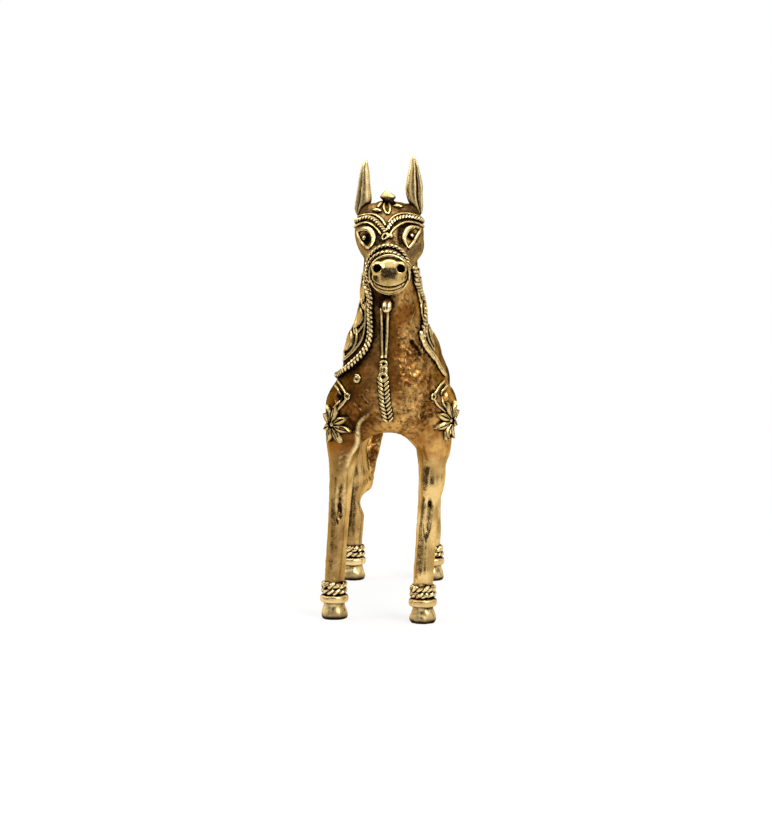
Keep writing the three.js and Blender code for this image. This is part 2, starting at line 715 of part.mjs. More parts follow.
// Ears: pointed leaves, hollowed in front, standing on the skull
function earLoft(side, length, shrink, forward) {
  const root = head.point(0.8, sided(side, 36), -1.5);
  const at = (share) => [root.x + side * 0.4 * share, root.y - forward, root.z + length * share];
  const half = (w) => [EAR_WIDTH / 2, EAR_DEPTH / 2].map((full) => full * w * shrink);
  const station = (s, w) => ({ s, at: at(s), half: half(w) });
  const outline = [[0, 0.8], [0.25, 1], [0.45, 0.95], [0.75, 0.62], [1, 0.14]];
  return new Loft(outline.map(([s, w]) => station(s, w)), { rings: 8, sides: 10 });
}
for (const [sideName, side] of Object.entries(SIDES)) {
  const length = EAR_LENGTHS[sideName];
  const hollow = solid(earLoft(side, length, 0.62, EAR_DEPTH * 0.42).geometry);
  const ear = seat(earLoft(side, length, 1, 0).geometry, head.geometry).subtract(hollow);
  piece(`ear_${sideName}`, ear, POLISHED);
}

const topknotAt = head.point(0.9, 90, -1);
const topknot = new THREE.ConeGeometry(TOPKNOT_WIDTH / 2, TOPKNOT_HEIGHT, 8)
  .rotateX(Math.PI / 2)
  .translate(topknotAt.x, topknotAt.y, topknotAt.z + TOPKNOT_HEIGHT / 2);
piece("topknot", seat(topknot, head.geometry), POLISHED);

// Neck and chest ornaments

const crestStops = [[0.4, 270], [0.55, 270], [0.75, 270], [0.93, 270]];
const crest = cord(trailOn(neck, crestStops, CREST_WIDTH / 5, CREST_WIDTH * 0.7), CREST_WIDTH, { sides: 8 });
piece("mane_crest", seat(crest, neck.geometry, head.geometry, barrel.geometry), WORN);

// Plates hang in a row down each side of the neck, and a rein runs down in front of them and turns
// back below the last one. The neck is turned a little, so both lie nearer the front on the right.
const plateStep = (PLATE_LENGTH + SEAT_GAP) / neck.length;
const plateTop = 0.64;
const plateSpots = Array.from({ length: PLATE_ROWS }, (_, row) => plateTop - row * plateStep);
const plateFoot = plateTop - (PLATE_ROWS - 0.5) * plateStep;
const reinTurn = plateFoot - (ROPE + 2 * SEAT_GAP) / neck.length;
const neckSides = {
  left: { plateAngle: -4, plateLift: 0.2, reinAngles: [26, 34, 40, 38, 26, 10] },
  right: { plateAngle: 20, plateLift: 0.8, reinAngles: [50, 60, 64, 60, 45, 24] },
};
const reinPlaces = [0.66, 0.56, 0.46, reinTurn + 0.08, reinTurn + 0.02, reinTurn];
for (const [sideName, side] of Object.entries(SIDES)) {
  const { plateAngle, plateLift, reinAngles } = neckSides[sideName];
  const stops = reinPlaces.map((s, i) => [s, sided(side, reinAngles[i])]);
  piece(`rein_${sideName}`, ropeOn(neck, stops), WORN);
  plateSpots.forEach((s, row) => {
    const plate = slab(leafShape(PLATE_LENGTH, PLATE_WIDTH), PLATE_THICK).translate(0, -PLATE_LENGTH / 2, 0);
    const placed = laid(plate, neck, s, sided(side, plateAngle), 180 + side * 12, plateLift);
    piece(`neck_plate_${sideName}_${row + 1}`, seat(placed, neck.geometry), WORN);
  });
}

// Down the front: a drop, a strap, a ring and a braid, one below the other, a little to the right
const FRONT = 96;
const dropAt = 0.655;
const below = (s, distance) => s - distance / neck.length;
const strapTop = below(dropAt, DROP_LENGTH / 2 + STRAP_WIDTH / 4 + SEAT_GAP);
const strapEnd = 0.38;
const ringReach = (SMALL_RING + THREAD) / 2;
const chestRingAt = below(strapEnd, STRAP_WIDTH / 4 + SEAT_GAP + ringReach);
const braidTop = below(chestRingAt, ringReach + BRAID_WIDTH / 4 + 2 * SEAT_GAP);
const braidEnd = 0.07;
const drop = new THREE.SphereGeometry(DROP_WIDTH / 2, 10, 6).scale(1, DROP_LENGTH / DROP_WIDTH, 0.8);
piece("chest_drop", seat(laid(drop, neck, dropAt, FRONT, 0, DROP_WIDTH / 4), neck.geometry), POLISHED);
const downFront = (from, to) => [0, 0.33, 0.66, 1].map((u) => [lerp(from, to, u), FRONT]);
const strapTrail = trailOn(neck, downFront(strapTop, strapEnd), STRAP_WIDTH / 5, STRAP_WIDTH * 0.8);
const strap = cord(strapTrail, STRAP_WIDTH, { sides: 8, flat: 0.7 });
piece("chest_strap", seat(strap, neck.geometry), WORN);
piece("chest_ring", seat(laid(wireRing(), neck, chestRingAt, FRONT, 0, threadLift), neck.geometry), POLISHED);
const braidTrail = trailOn(neck, downFront(braidTop, braidEnd), BRAID_WIDTH / 10, BRAID_WIDTH * 0.3);
const braid = cord(braidTrail, BRAID_WIDTH, { sides: 8, flat: 0.6 });
piece("chest_braid", seat(braid, neck.geometry), WORN);
piece("chest_scroll", seat(laid(wireRing(), neck, 0.225, 126, 0, threadLift), neck.geometry), POLISHED);

// Shoulder rosettes and chevrons

function rosette() {
  const leaf = slab(leafShape(PETAL_LENGTH, PETAL_WIDTH), PETAL_THICK);
  const petals = Array.from({ length: PETALS }, (_, i) => leaf.clone().rotateZ((2 * Math.PI * i) / PETALS));
  const boss = new THREE.CylinderGeometry(PETAL_WIDTH * 0.75, PETAL_WIDTH * 0.75, PETAL_THICK * 1.2, 12);
  return meshOf(union(boss.rotateX(Math.PI / 2), ...petals));
}

function chevron() {
  const corners = [[0, 1], [-0.9, -0.8], [0.9, -0.8]];
  const triangle = (size) => corners.map(([x, y]) => new THREE.Vector2(x * size, y * size));
  const outline = new THREE.Shape(triangle(CHEVRON_SIZE));
  outline.holes.push(new THREE.Path(triangle(CHEVRON_SIZE * 0.55)));
  return slab(outline, PETAL_THICK);
}

for (const [sideName, side] of Object.entries(SIDES)) {
  const leg = legs[`fore_leg_${sideName}`];
  const flower = laid(rosette(), leg, 0.93, sided(side, 36), 0, -PETAL_THICK / 5);
  piece(`shoulder_rosette_${sideName}`, seat(flower, leg.geometry, neck.geometry, barrel.geometry), POLISHED);
  const mark = laid(chevron(), neck, 0.155, sided(side, 38));
  piece(`shoulder_chevron_${sideName}`, seat(mark, leg.geometry, neck.geometry), WORN);
}

// Back: saddle pad with a rope round it

const saddleMiddle = 0.52;
const saddleHalf = SADDLE_LENGTH / 2 / barrel.length;
const saddleSpread = 44; // degrees each way from the back's mid-line
function saddlePad() {
  const across = 12;
  const lengthwise = [-1, -0.5, 0, 0.5, 1];
  const band = (u, lift, way) =>
    Array.from({ length: across + 1 }, (_, k) => {
      const angle = 90 + way * lerp(-saddleSpread, saddleSpread, k / across);
      return barrel.point(saddleMiddle + saddleHalf * u, angle, lift);
    });
  const rings = lengthwise.map((u) => [...band(u, SEAT_GAP, 1), ...band(u, SEAT_GAP + SADDLE_THICK, -1)]);
  const middle = (u) => barrel.point(saddleMiddle + saddleHalf * u, 90, SEAT_GAP + SADDLE_THICK / 2);
  return skin(rings, middle(-1), middle(1));
}
piece("saddle_pad", saddlePad(), WORN);

// The rope's path rounds the pad's corners and keeps clear of its edges.
const edgeClear = ROPE / 2 + 2 * SEAT_GAP;
const edgeReach = saddleHalf + edgeClear / barrel.length;
const edgeSpread = saddleSpread + radToDeg(edgeClear / barrelHalf[0]);
const corner = { s: ROPE / barrel.length, angle: radToDeg(ROPE / barrelHalf[0]) };
const edgeQuarter = (front, side) => [
  [saddleMiddle + front * edgeReach, 90 + side * (edgeSpread - corner.angle)],
  [saddleMiddle + front * (edgeReach - corner.s), 90 + side * edgeSpread],
];
const edgeStops = [
  ...edgeQuarter(1, 1),
  ...edgeQuarter(-1, 1).reverse(),
  ...edgeQuarter(-1, -1),
  ...edgeQuarter(1, -1).reverse(),
];
const edgeStep = 2;
const edge = trailOn(barrel, edgeStops, ropeLift, edgeStep, true);
piece("saddle_rope", cord(edge, ROPE, { loop: true }), WORN);

// Tail: from the rump down to the inside of the right hind leg

const tailTop = barrel.point(1, 55);
const hock = legs.hind_leg_right.point(0.42, 40);
const tailBack = RUMP_Y + TAIL_DEPTH;
const tailStation = (s, x, y, z, share) => ({
  s,
  at: [x, y, z],
  half: [(TAIL_WIDTH / 2) * share, (TAIL_DEPTH / 2) * share],
});
const tail = new Loft(
  [
    tailStation(0, 0, tailTop.y - TAIL_DEPTH * 0.4, tailTop.z, 0.7),
    tailStation(0.2, hock.x * 0.1, tailBack, tailTop.z - TAIL_DEPTH * 1.7, 0.95),
    tailStation(0.6, hock.x * 0.55, tailBack, lerp(tailTop.z, hock.z, 0.55), 1),
    tailStation(1, hock.x, lerp(RUMP_Y, hock.y, 0.55), hock.z, 0.75),
  ],
  { rings: 10, sides: 10, startDome: 1, endDome: 1.2 },
);
piece("tail", seat(tail.geometry, barrel.geometry, legs.hind_leg_right.geometry), WORN);

// The figure is centred over the origin and stands on the floor.
const box = new THREE.Box3().setFromObject(horse);
const middle = box.getCenter(vec());
horse.position.set(-middle.x, -middle.y, -box.min.z);

export default horse;
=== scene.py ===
"""Looks of the brass horse figurine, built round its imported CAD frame.

The masses of the CAD model melt into one cast skin, which is carved and then parted again into one piece
for each CAD node. Ropes, threads, leaves and beads are laid on that skin. Shapes are worked out in
millimetres in the CAD frame (the horse faces -Y, its left is +X), and become metres when a piece is made.
"""
import math

import bpy
import numpy as np
import openvdb
from mathutils import Matrix, Vector, noise
from mathutils.bvhtree import BVHTree


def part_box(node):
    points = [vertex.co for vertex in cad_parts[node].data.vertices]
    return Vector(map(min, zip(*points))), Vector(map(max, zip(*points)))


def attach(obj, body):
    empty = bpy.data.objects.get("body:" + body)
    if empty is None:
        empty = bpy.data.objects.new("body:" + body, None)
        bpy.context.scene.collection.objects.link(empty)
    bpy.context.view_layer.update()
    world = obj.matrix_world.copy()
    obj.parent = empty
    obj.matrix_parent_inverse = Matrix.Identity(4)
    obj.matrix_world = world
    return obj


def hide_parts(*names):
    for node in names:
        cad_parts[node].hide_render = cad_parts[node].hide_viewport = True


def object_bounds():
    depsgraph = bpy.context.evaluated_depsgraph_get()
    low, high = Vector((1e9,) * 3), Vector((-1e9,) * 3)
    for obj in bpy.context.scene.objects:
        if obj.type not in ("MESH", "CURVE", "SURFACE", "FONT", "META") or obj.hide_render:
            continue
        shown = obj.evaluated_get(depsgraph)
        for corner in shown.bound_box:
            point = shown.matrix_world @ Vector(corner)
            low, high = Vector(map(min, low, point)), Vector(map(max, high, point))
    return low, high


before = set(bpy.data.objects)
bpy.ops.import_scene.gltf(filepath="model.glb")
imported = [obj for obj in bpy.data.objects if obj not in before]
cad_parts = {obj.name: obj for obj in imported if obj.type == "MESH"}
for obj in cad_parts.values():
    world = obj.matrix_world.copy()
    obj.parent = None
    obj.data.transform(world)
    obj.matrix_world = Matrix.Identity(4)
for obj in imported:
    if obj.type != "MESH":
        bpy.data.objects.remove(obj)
cad_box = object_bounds()

MM = 0.001
SEED = 11
SIDES = {"left": 1, "right": -1}
ENDS = ("fore", "hind")
LEGS = [f"{end}_leg_{side}" for end in ENDS for side in SIDES]
UPWARD = (0.0, 0.0, 1.0)
noise.seed_set(SEED)

# The camera stands where the photograph was taken from

PHOTO_SIZE = (772, 832)
FOCAL_PIXELS = 2836
AIM = np.array([-1.4, -20.0, 66.2])
AZIMUTH = math.radians(2.0)
ELEVATION = math.radians(7.0)
DISTANCE = 930.0
SENSOR = 36.0
CLIP = (0.01, 50.0)
BACK = np.array(
    [
        math.sin(AZIMUTH) * math.cos(ELEVATION),
        -math.cos(AZIMUTH) * math.cos(ELEVATION),
        math.sin(ELEVATION),
    ]
)
RIGHT = np.array([math.cos(AZIMUTH), math.sin(AZIMUTH), 0.0])
UP = np.cross(BACK, RIGHT)
EYE = AIM + DISTANCE * BACK


def ray(pixel):
    """Direction from the eye through a pixel of the photograph."""
    across = (pixel[0] - PHOTO_SIZE[0] / 2) / FOCAL_PIXELS
    down = (pixel[1] - PHOTO_SIZE[1] / 2) / FOCAL_PIXELS
    way = RIGHT * across - UP * down - BACK
    return way / np.linalg.norm(way)


def add_camera():
    data = bpy.data.cameras.new("camera")
    data.sensor_width = SENSOR
    data.lens = FOCAL_PIXELS * SENSOR / max(PHOTO_SIZE)
    data.clip_start, data.clip_end = CLIP
    camera = bpy.data.objects.new("camera", data)
    turn = Matrix((RIGHT, UP, BACK)).transposed().to_4x4()
    camera.matrix_world = Matrix.Translation(EYE * MM) @ turn
    bpy.context.scene.collection.objects.link(camera)
    bpy.context.scene.camera = camera


add_camera()

# Finishes: brass that is bright where it is polished and dark in its hollows, with painted shade on its
# right side, on top of the head and in the lee of larger forms, and a painted highlight along a strip on
# one fore leg

# Noises in the brass and the clay: scale per metre and detail
CLOUDS = (130.0, 6.0)
GRAIN = (900.0, 4.0)
FINE = (3600.0, 2.0)
GRIT = (1500.0, 5.0)
# Ramps: two readings, and what the ramp says at them where that isn't 0 and 1
FRAYED = (0.25, 0.75, -0.16, 0.16)
TARNISH = (0.46, 0.92)
# Darkening in the lee of larger forms: partly tarnish, partly painted shade
LEE_SHADE_AND_TARNISH_RAMP = (0.42, 0.93, 0.03, 1.0)
CLOUDED = (0.36, 0.66)
WORN_EDGE = (0.5, 0.58)
RUBBED_EDGE = (0.515, 0.6)
GRAINED = (0.2, 0.75, 0.55, 1.0)
GRITTY = (0.3, 0.7)
GRAIN_SHARE = 0.7
OPENNESS_SAMPLES = 12
CLAY_RELIEF = (0.8, 0.3)
CLAY_ROUGH = 0.95


class Nodes:
    """A short way to wire a node tree."""

    def __init__(self, tree):
        self.tree = tree
        tree.nodes.clear()

    def feed(self, socket, value):
        """Links a socket to another one, or sets its value."""
        if isinstance(value, bpy.types.NodeSocket):
            self.tree.links.new(value, socket)
        else:
            socket.default_value = value

    def add(self, kind, inputs=(), **settings):
        node = self.tree.nodes.new(kind)
        for name, value in settings.items():
            setattr(node, name, value)
        for name, value in dict(inputs).items():
            self.feed(node.inputs[name], value)
        return node

    def noise(self, where, scale, detail):
        made = self.add("ShaderNodeTexNoise", {"Vector": where, "Scale": scale, "Detail": detail})
        return made.outputs["Fac"]

    def ramp(self, value, low, high, to_low=0.0, to_high=1.0):
        ends = {"Value": value, "From Min": low, "From Max": high, "To Min": to_low, "To Max": to_high}
        return self.add("ShaderNodeMapRange", ends, interpolation_type="SMOOTHSTEP").outputs["Result"]

    def openness(self, reach):
        """How little a place is hemmed in by what lies within `reach` mm."""
        made = self.add("ShaderNodeAmbientOcclusion", {"Distance": reach * MM}, samples=OPENNESS_SAMPLES)
        return made.outputs["AO"]

    def math(self, operation, first, second):
        made = self.add("ShaderNodeMath", operation=operation)
        for socket, value in zip(made.inputs, (first, second)):
            self.feed(socket, value)
        return made.outputs["Value"]

    def mix(self, share, first, second):
        made = self.add("ShaderNodeMix", data_type="RGBA")
        sockets = {socket.name: socket for socket in made.inputs if socket.enabled}
        for name, value in (("Factor", share), ("A", first), ("B", second)):
            self.feed(sockets[name], value)
        return next(socket for socket in made.outputs if socket.enabled)

    def relief(self, height, strength, depth):
        """Shading of a relief that is `depth` mm deep."""
        inputs = {"Height": height, "Strength": strength, "Distance": depth * MM}
        return self.add("ShaderNodeBump", inputs).outputs["Normal"]

    def seen_directly(self):
        """1 for rays that are sent out, mirrored or let through, and 0 for those that light the scene."""
        rays = self.add("ShaderNodeLightPath").outputs
        seen = self.math("MAXIMUM", rays["Is Camera Ray"], rays["Is Glossy Ray"])
        return self.math("MAXIMUM", seen, rays["Is Transmission Ray"])

    def blend(self, share, first, second):
        """A mix of two shaders."""
        shader = self.add("ShaderNodeMixShader", {"Fac": share})
        self.feed(shader.inputs[1], first)
        self.feed(shader.inputs[2], second)
        return shader.outputs["Shader"]

    def finish(self, inputs):
        """Ends a material in one shader with these inputs."""
        shader = self.add("ShaderNodeBsdfPrincipled", inputs)
        self.add("ShaderNodeOutputMaterial", {"Surface": shader.outputs["BSDF"]})


def new_material(name):
    """An empty material, and the nodes to wire it with."""
    material = bpy.data.materials.new(name)
    material.use_nodes = True
    return material, Nodes(material.node_tree)


def coated(nodes, axes, sheen, coat):
    """The colour of a coat: its body, what it wears to, and the coats it fades to along an axis in mm."""
    body, bright, fades = coat
    colour = nodes.mix(sheen, body, bright)
    for axis, first, last, other in fades:
        share = nodes.ramp(axes[axis], first * MM, last * MM)
        colour = nodes.mix(share, colour, coated(nodes, axes, sheen, other))
    return colour


def brass(name, coat, smooth, rough, hollow_reach, pitting=0.05, lee_shade_and_tarnish=(6.0, -1, 0), soil=0.05):
    """Brass worn bright on its high places, with tarnish left in hollows up to `hollow_reach` mm.

    Its grain is `pitting` mm deep, and `soil` spreads the tarnish. The lee setting is how near in mm larger
    forms darken it, partly as tarnish and partly as painted shade, and the heights between which that sets
    in.
    """
    material, nodes = new_material(name)
    where = nodes.add("ShaderNodeTexCoord").outputs["Object"]
    axes = nodes.add("ShaderNodeSeparateXYZ", {"Vector": where}).outputs
    clouds, grain, fine = (nodes.noise(where, *look) for look in (CLOUDS, GRAIN, FINE))
    opened = nodes.math("ADD", nodes.openness(hollow_reach), nodes.ramp(grain, *FRAYED))
    clean_and_unshaded = nodes.ramp(opened, *(reading + soil for reading in TARNISH))
    # Darkening where larger forms hem a place in: partly tarnish, partly painted shade, such as under the
    # chin and between the legs
    lee_reach, lee_low, lee_high = lee_shade_and_tarnish
    below = nodes.ramp(axes["Z"], lee_low * MM, lee_high * MM, 1.0, 0.0)
    free_of_lee_shade_and_tarnish = nodes.math("MAXIMUM", nodes.ramp(nodes.openness(lee_reach), *LEE_SHADE_AND_TARNISH_RAMP), below)
    clean_and_unshaded = nodes.math("MULTIPLY", clean_and_unshaded, free_of_lee_shade_and_tarnish)
    # How far a place stands out: worn bright on edges, and on one fore leg also a painted highlight along a
    # strip
    point = nodes.add("ShaderNodeAttribute", attribute_name="point").outputs["Fac"]
    sheen = nodes.math("MAXIMUM", nodes.ramp(point, *WORN_EDGE), nodes.ramp(clouds, *CLOUDED))
    wear_and_highlight = nodes.ramp(point, *RUBBED_EDGE)
    base = nodes.mix(wear_and_highlight, coated(nodes, axes, sheen, coat), RUBBED_BRIGHT)
    worn = nodes.math("MULTIPLY", clean_and_unshaded, nodes.ramp(grain, *GRAINED))
    coarse = nodes.math("MULTIPLY", grain, GRAIN_SHARE)
    height = nodes.math("ADD", coarse, nodes.math("MULTIPLY", fine, 1 - GRAIN_SHARE))
    # Base colour goes to DARK where tarnished, and where painted shade lies in the lee of larger forms
    nodes.finish(
        {
            "Base Color": nodes.mix(clean_and_unshaded, DARK, base),
            "Metallic": 1.0,
            "Roughness": nodes.ramp(worn, 0.0, 1.0, rough, smooth),
            "Specular Tint": EDGE_TINT,
            "Normal": nodes.relief(height, 1.0, pitting),
        }
    )
    return material


def fired_clay():
    material, nodes = new_material("fired_clay")
    where = nodes.add("ShaderNodeTexCoord").outputs["Object"]
    grit = nodes.noise(where, *GRIT)
    colour = nodes.mix(nodes.ramp(grit, *GRITTY), CLAY_DARK, CLAY_LIGHT)
    normal = nodes.relief(grit, *CLAY_RELIEF)
    nodes.finish({"Base Color": colour, "Roughness": CLAY_ROUGH, "Normal": normal})
    return material


CLAY_DARK = (0.05, 0.03, 0.02, 1)
CLAY_LIGHT = (0.16, 0.1, 0.065, 1)
# Black of the tarnish in hollows, and of the painted shade in the lee of larger forms
DARK = (0.011, 0.0055, 0.0023, 1)
EDGE_TINT = (0.86, 0.68, 0.42, 1)
# Painted shade: the chest and neck go darker towards the horse's right side
CHEST_PAINTED_SHADE = (0.085, 0.03, 0.006, 1)
ANTIQUE = (0.285, 0.108, 0.019, 1)
ANTIQUE_BRIGHT = (0.8, 0.445, 0.132, 1)
# Painted shade: the legs go darker on the horse's right side, from X -12 to -17 mm
LEG_PAINTED_SHADE = (0.26, 0.14, 0.04, 1)
WORN = (0.47, 0.285, 0.095, 1)
WORN_BRIGHT = (0.88, 0.6, 0.235, 1)
# Painted shade: the top of the head is darker, from Z 127 to 133 mm
FOREHEAD_PAINTED_SHADE = (0.06, 0.035, 0.013, 1)
FOREHEAD_SHADE_BRIGHT = (0.24, 0.14, 0.052, 1)
FACE = (0.34, 0.2, 0.078, 1)
FACE_BRIGHT = (0.6, 0.385, 0.165, 1)
POLISHED = (0.52, 0.335, 0.11, 1)
POLISHED_BRIGHT = (0.88, 0.63, 0.255, 1)
RUBBED = (0.74, 0.51, 0.215, 1)
RUBBED_BRIGHT = (0.97, 0.73, 0.345, 1)

PLAIN_COAT = (WORN, WORN_BRIGHT, [])
POLISHED_COAT = (POLISHED, POLISHED_BRIGHT, [])
RUBBED_COAT = (RUBBED, RUBBED_BRIGHT, [])
FLANK_COAT = (ANTIQUE, ANTIQUE_BRIGHT, [])
# Painted shade on the horse's right side, from X 3 to -10 mm, fading back to the plain flank colour from Y
# -24 to 2 mm
PAINTED_SHADE_COAT = (CHEST_PAINTED_SHADE, ANTIQUE, [("Y", -24, 2, FLANK_COAT)])
CHEST_COAT = (ANTIQUE, ANTIQUE_BRIGHT, [("X", 3, -10, PAINTED_SHADE_COAT)])
LEG_PAINTED_SHADE_COAT = (LEG_PAINTED_SHADE, WORN, [])
LEG_COAT = (WORN, WORN_BRIGHT, [("X", -12, -17, LEG_PAINTED_SHADE_COAT), ("Z", 50, 58, CHEST_COAT)])
FOREHEAD_SHADE_COAT = (FOREHEAD_PAINTED_SHADE, FOREHEAD_SHADE_BRIGHT, [])
FACE_COAT = (FACE, FACE_BRIGHT, [("Z", 127, 133, FOREHEAD_SHADE_COAT), ("Y", -43, -31, CHEST_COAT)])
# Lee of the chest and of the leg tops: reach in mm and the heights between which it sets in; partly
# tarnish, partly painted shade under the chin and between the legs
CHEST_LEE_SHADE_AND_TARNISH = (34.0, -1, 0)
LEG_LEE_SHADE_AND_TARNISH = (34.0, 50, 58)
# Coat, roughness where it is worn and where it isn't, and reach of the hollows that stay dark
BRASSES = {
    "brass_polished": ((POLISHED_COAT, 0.14, 0.5, 1.5), {"soil": 0.08}),
    "brass_rubbed": ((RUBBED_COAT, 0.26, 0.6, 1.3), {}),
    "brass_worn": ((PLAIN_COAT, 0.18, 0.55, 1.8), {"soil": 0.1}),
    "brass_legs": ((LEG_COAT, 0.14, 0.5, 1.7), {"pitting": 0.085, "lee_shade_and_tarnish": LEG_LEE_SHADE_AND_TARNISH}),
    "brass_face": ((FACE_COAT, 0.26, 0.6, 3.6), {"pitting": 0.1, "soil": 0.19}),
    "brass_antique": ((CHEST_COAT, 0.35, 0.6, 3.0), {"pitting": 0.11, "lee_shade_and_tarnish": CHEST_LEE_SHADE_AND_TARNISH, "soil": 0.19}),
}
FINISHES = {name: brass(name, *basics, **others) for name, (basics, others) in BRASSES.items()}
FINISHES["clay"] = fired_clay()


# Meshes are pairs: an array of corners in millimetres and a list of faces


def merged(*meshes):
    corners, faces, start = [], [], 0
    for some, around in meshes:
        corners.append(some)
        faces.extend(tuple(start + k for k in face) for face in around)
        start += len(some)
    return np.concatenate(corners), faces


FLAT = 0.5


def unit(rows):
    return rows / np.maximum(np.linalg.norm(rows, axis=-1, keepdims=True), 1e-9)


def points_of(corners, edges, normals):
    """How far each corner stands out from those round it: FLAT where it doesn't, and more on edges."""
    first, second = edges.T
    way = unit(corners[second] - corners[first])
    lean, count = np.zeros((len(corners), 3)), np.zeros(len(corners))
    for ends, ways in ((first, way), (second, -way)):
        np.add.at(lean, ends, ways)
        np.add.at(count, ends, 1)
    angle = np.arccos(np.clip((normals * lean).sum(axis=1) / count, -1, 1)) / np.pi
    total = angle.copy()
    np.add.at(total, first, angle[second])
    np.add.at(total, second, angle[first])
    return total / (count + 1)


def add_piece(name, mesh, finish, normals=None, points=None, crease=50):
    """A finished piece that stands for the CAD node of its name."""
    corners, faces = mesh
    data = bpy.data.meshes.new(f"{name}_cast")
    data.from_pydata((corners * MM).tolist(), [], faces)
    data.shade_smooth()
    if normals is None:
        data.set_sharp_from_angle(angle=math.radians(crease))
    else:
        data.normals_split_custom_set_from_vertices(normals.tolist())
    if points is None:
        edges = np.array([edge.vertices[:] for edge in data.edges])
        points = points_of(corners, edges, np.array([normal.vector for normal in data.vertex_normals]))
    data.attributes.new("point", "FLOAT", "POINT").data.foreach_set("value", points)
    data.materials.append(FINISHES[finish])
    made = bpy.data.objects.new(f"{name}_cast", data)
    bpy.context.scene.collection.objects.link(made)
    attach(made, "root")
    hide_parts(name)


def box_of(node):
    """Lowest and highest corner of a CAD node, in millimetres."""
    return [np.array(corner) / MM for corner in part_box(node)]


def node_mesh(name):
    """Corners in millimetres and triangles of a CAD node."""
    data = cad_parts[name].data
    corners = np.empty(len(data.vertices) * 3, np.float32)
    data.vertices.foreach_get("co", corners)
    data.calc_loop_triangles()
    triangles = np.empty(len(data.loop_triangles) * 3, np.int32)
    data.loop_triangles.foreach_get("vertices", triangles)
    return corners.reshape(-1, 3) / MM, triangles.reshape(-1, 3).astype(np.uint32)


def normals_of(corners, faces, passes=2):
    """Outward directions at the corners of a mesh of quads, evened out with their neighbours."""
    a, b, c, d = (corners[faces[:, k]] for k in range(4))
    out = np.cross(c - a, d - b)
    total = np.zeros_like(corners)
    for k in range(4):
        np.add.at(total, faces[:, k], out)
    for _ in range(passes):
        mean = unit(total)[faces].mean(axis=1)
        total = np.zeros_like(corners)
        for k in range(4):
            np.add.at(total, faces[:, k], mean)
    return unit(total)


# Fields of distance, negative inside, on a box of voxels


class Field:
    def __init__(self, low, high, voxel):
        self.voxel = voxel
        self.low = np.floor(np.array(low) / voxel).astype(int)
        self.shape = tuple(np.ceil(np.array(high) / voxel).astype(int) - self.low + 1)
        self.corner = tuple(int(k) for k in self.low)
        self.transform = openvdb.createLinearTransform(voxel)

    def of_mesh(self, corners, triangles, band):
        reach = band / self.voxel
        grid = openvdb.FloatGrid.createLevelSetFromPolygons(
            corners, triangles, transform=self.transform, exBandWidth=reach, inBandWidth=reach
        )
        values = np.empty(self.shape, np.float32)
        grid.copyToArray(values, ijk=self.corner)
        return values

    def axes(self):
        spans = [(np.arange(n) + k) * self.voxel for n, k in zip(self.shape, self.low)]
        return np.meshgrid(*spans, indexing="ij", sparse=True)

    def surface(self, values):
        grid = openvdb.FloatGrid(float(values.max()))
        grid.copyFromArray(np.ascontiguousarray(values, np.float32), ijk=self.corner)
        grid.transform = self.transform
        corners, faces = grid.convertToQuads(0.0)
        return corners.astype(float), faces.astype(int)

    def value_at(self, values, places):
        nearest = np.rint(places / self.voxel).astype(int) - self.low
        return values[tuple(np.clip(nearest, 0, np.array(self.shape) - 1).T)]


def smooth_union(first, second, fillet):
    share = np.clip(0.5 + 0.5 * (second - first) / fillet, 0, 1)
    return second + share * (first - second) - fillet * share * (1 - share)


def melted(values, reach, voxel):
    """The field blurred over `reach`, which rounds facets and creases away."""
    for _ in range(round(2 * (reach / voxel) ** 2)):
        for axis in range(3):
            lines = np.moveaxis(values, axis, 0)
            lines[1:-1] = (lines[:-2] + 2 * lines[1:-1] + lines[2:]) / 4
    return values


# The cast skin

VOXEL = 0.4
BAND = 9.0
MELT = 0.85
MARGIN = 3.0
FILLETS = {"barrel": 4.0, "head": 2.0, "tail": 1.0, **{leg: 6.0 for leg in LEGS}}


def cast_skin():
    """The masses as one surface, and the number of the CAD node that each of its faces belongs to."""
    low, high = (np.array(corner) / MM for corner in cad_box)
    field = Field(low - MARGIN, high + MARGIN, VOXEL)
    names = ["chest_and_neck", *FILLETS]
    body = field.of_mesh(*node_mesh(names[0]), BAND)
    best = body.copy()
    owner = np.zeros(field.shape, np.uint8)
    for number, name in enumerate(names[1:], 1):
        mass = field.of_mesh(*node_mesh(name), BAND)
        owner[mass < best] = number
        np.minimum(best, mass, out=best)
        body = smooth_union(body, mass, FILLETS[name])
    corners, faces = field.surface(melted(body, MELT, VOXEL))
    centres = corners[faces].mean(axis=1)
    return names, corners, faces, field.value_at(owner, centres)


def edges_of(faces):
    """Each edge of a mesh of quads once, and how many faces share it."""
    edges = np.concatenate([faces[:, [k, (k + 1) % 4]] for k in range(4)])
    keys = edges.min(axis=1) * (faces.max() + 1) + edges.max(axis=1)
    _, first, count = np.unique(keys, return_index=True, return_counts=True)
    return edges[first], count


def cap(corners, faces):
    """Closes the open edges of a part of the skin with a fan from the middle of each rim."""
    edges, count = edges_of(faces)
    rim = edges[count == 1]
    group = {int(k): int(k) for k in np.unique(rim)}

    def root(k):
        while group[k] != k:
            k = group[k]
        return k

    for a, b in rim.tolist():
        group[root(a)] = root(b)
    middles, fans = {}, []
    for a, b in rim.tolist():
        middle = middles.setdefault(root(a), len(corners) + len(middles))
        fans.append((b, a, middle))
    added = [corners[[k for k in group if root(k) == key]].mean(axis=0) for key in middles]
    return np.concatenate([corners, np.array(added).reshape(-1, 3)]), fans


SKIN_FINISHES = {
    "barrel": "brass_antique",
    "chest_and_neck": "brass_antique",
    "head": "brass_face",
    "tail": "brass_face",
}


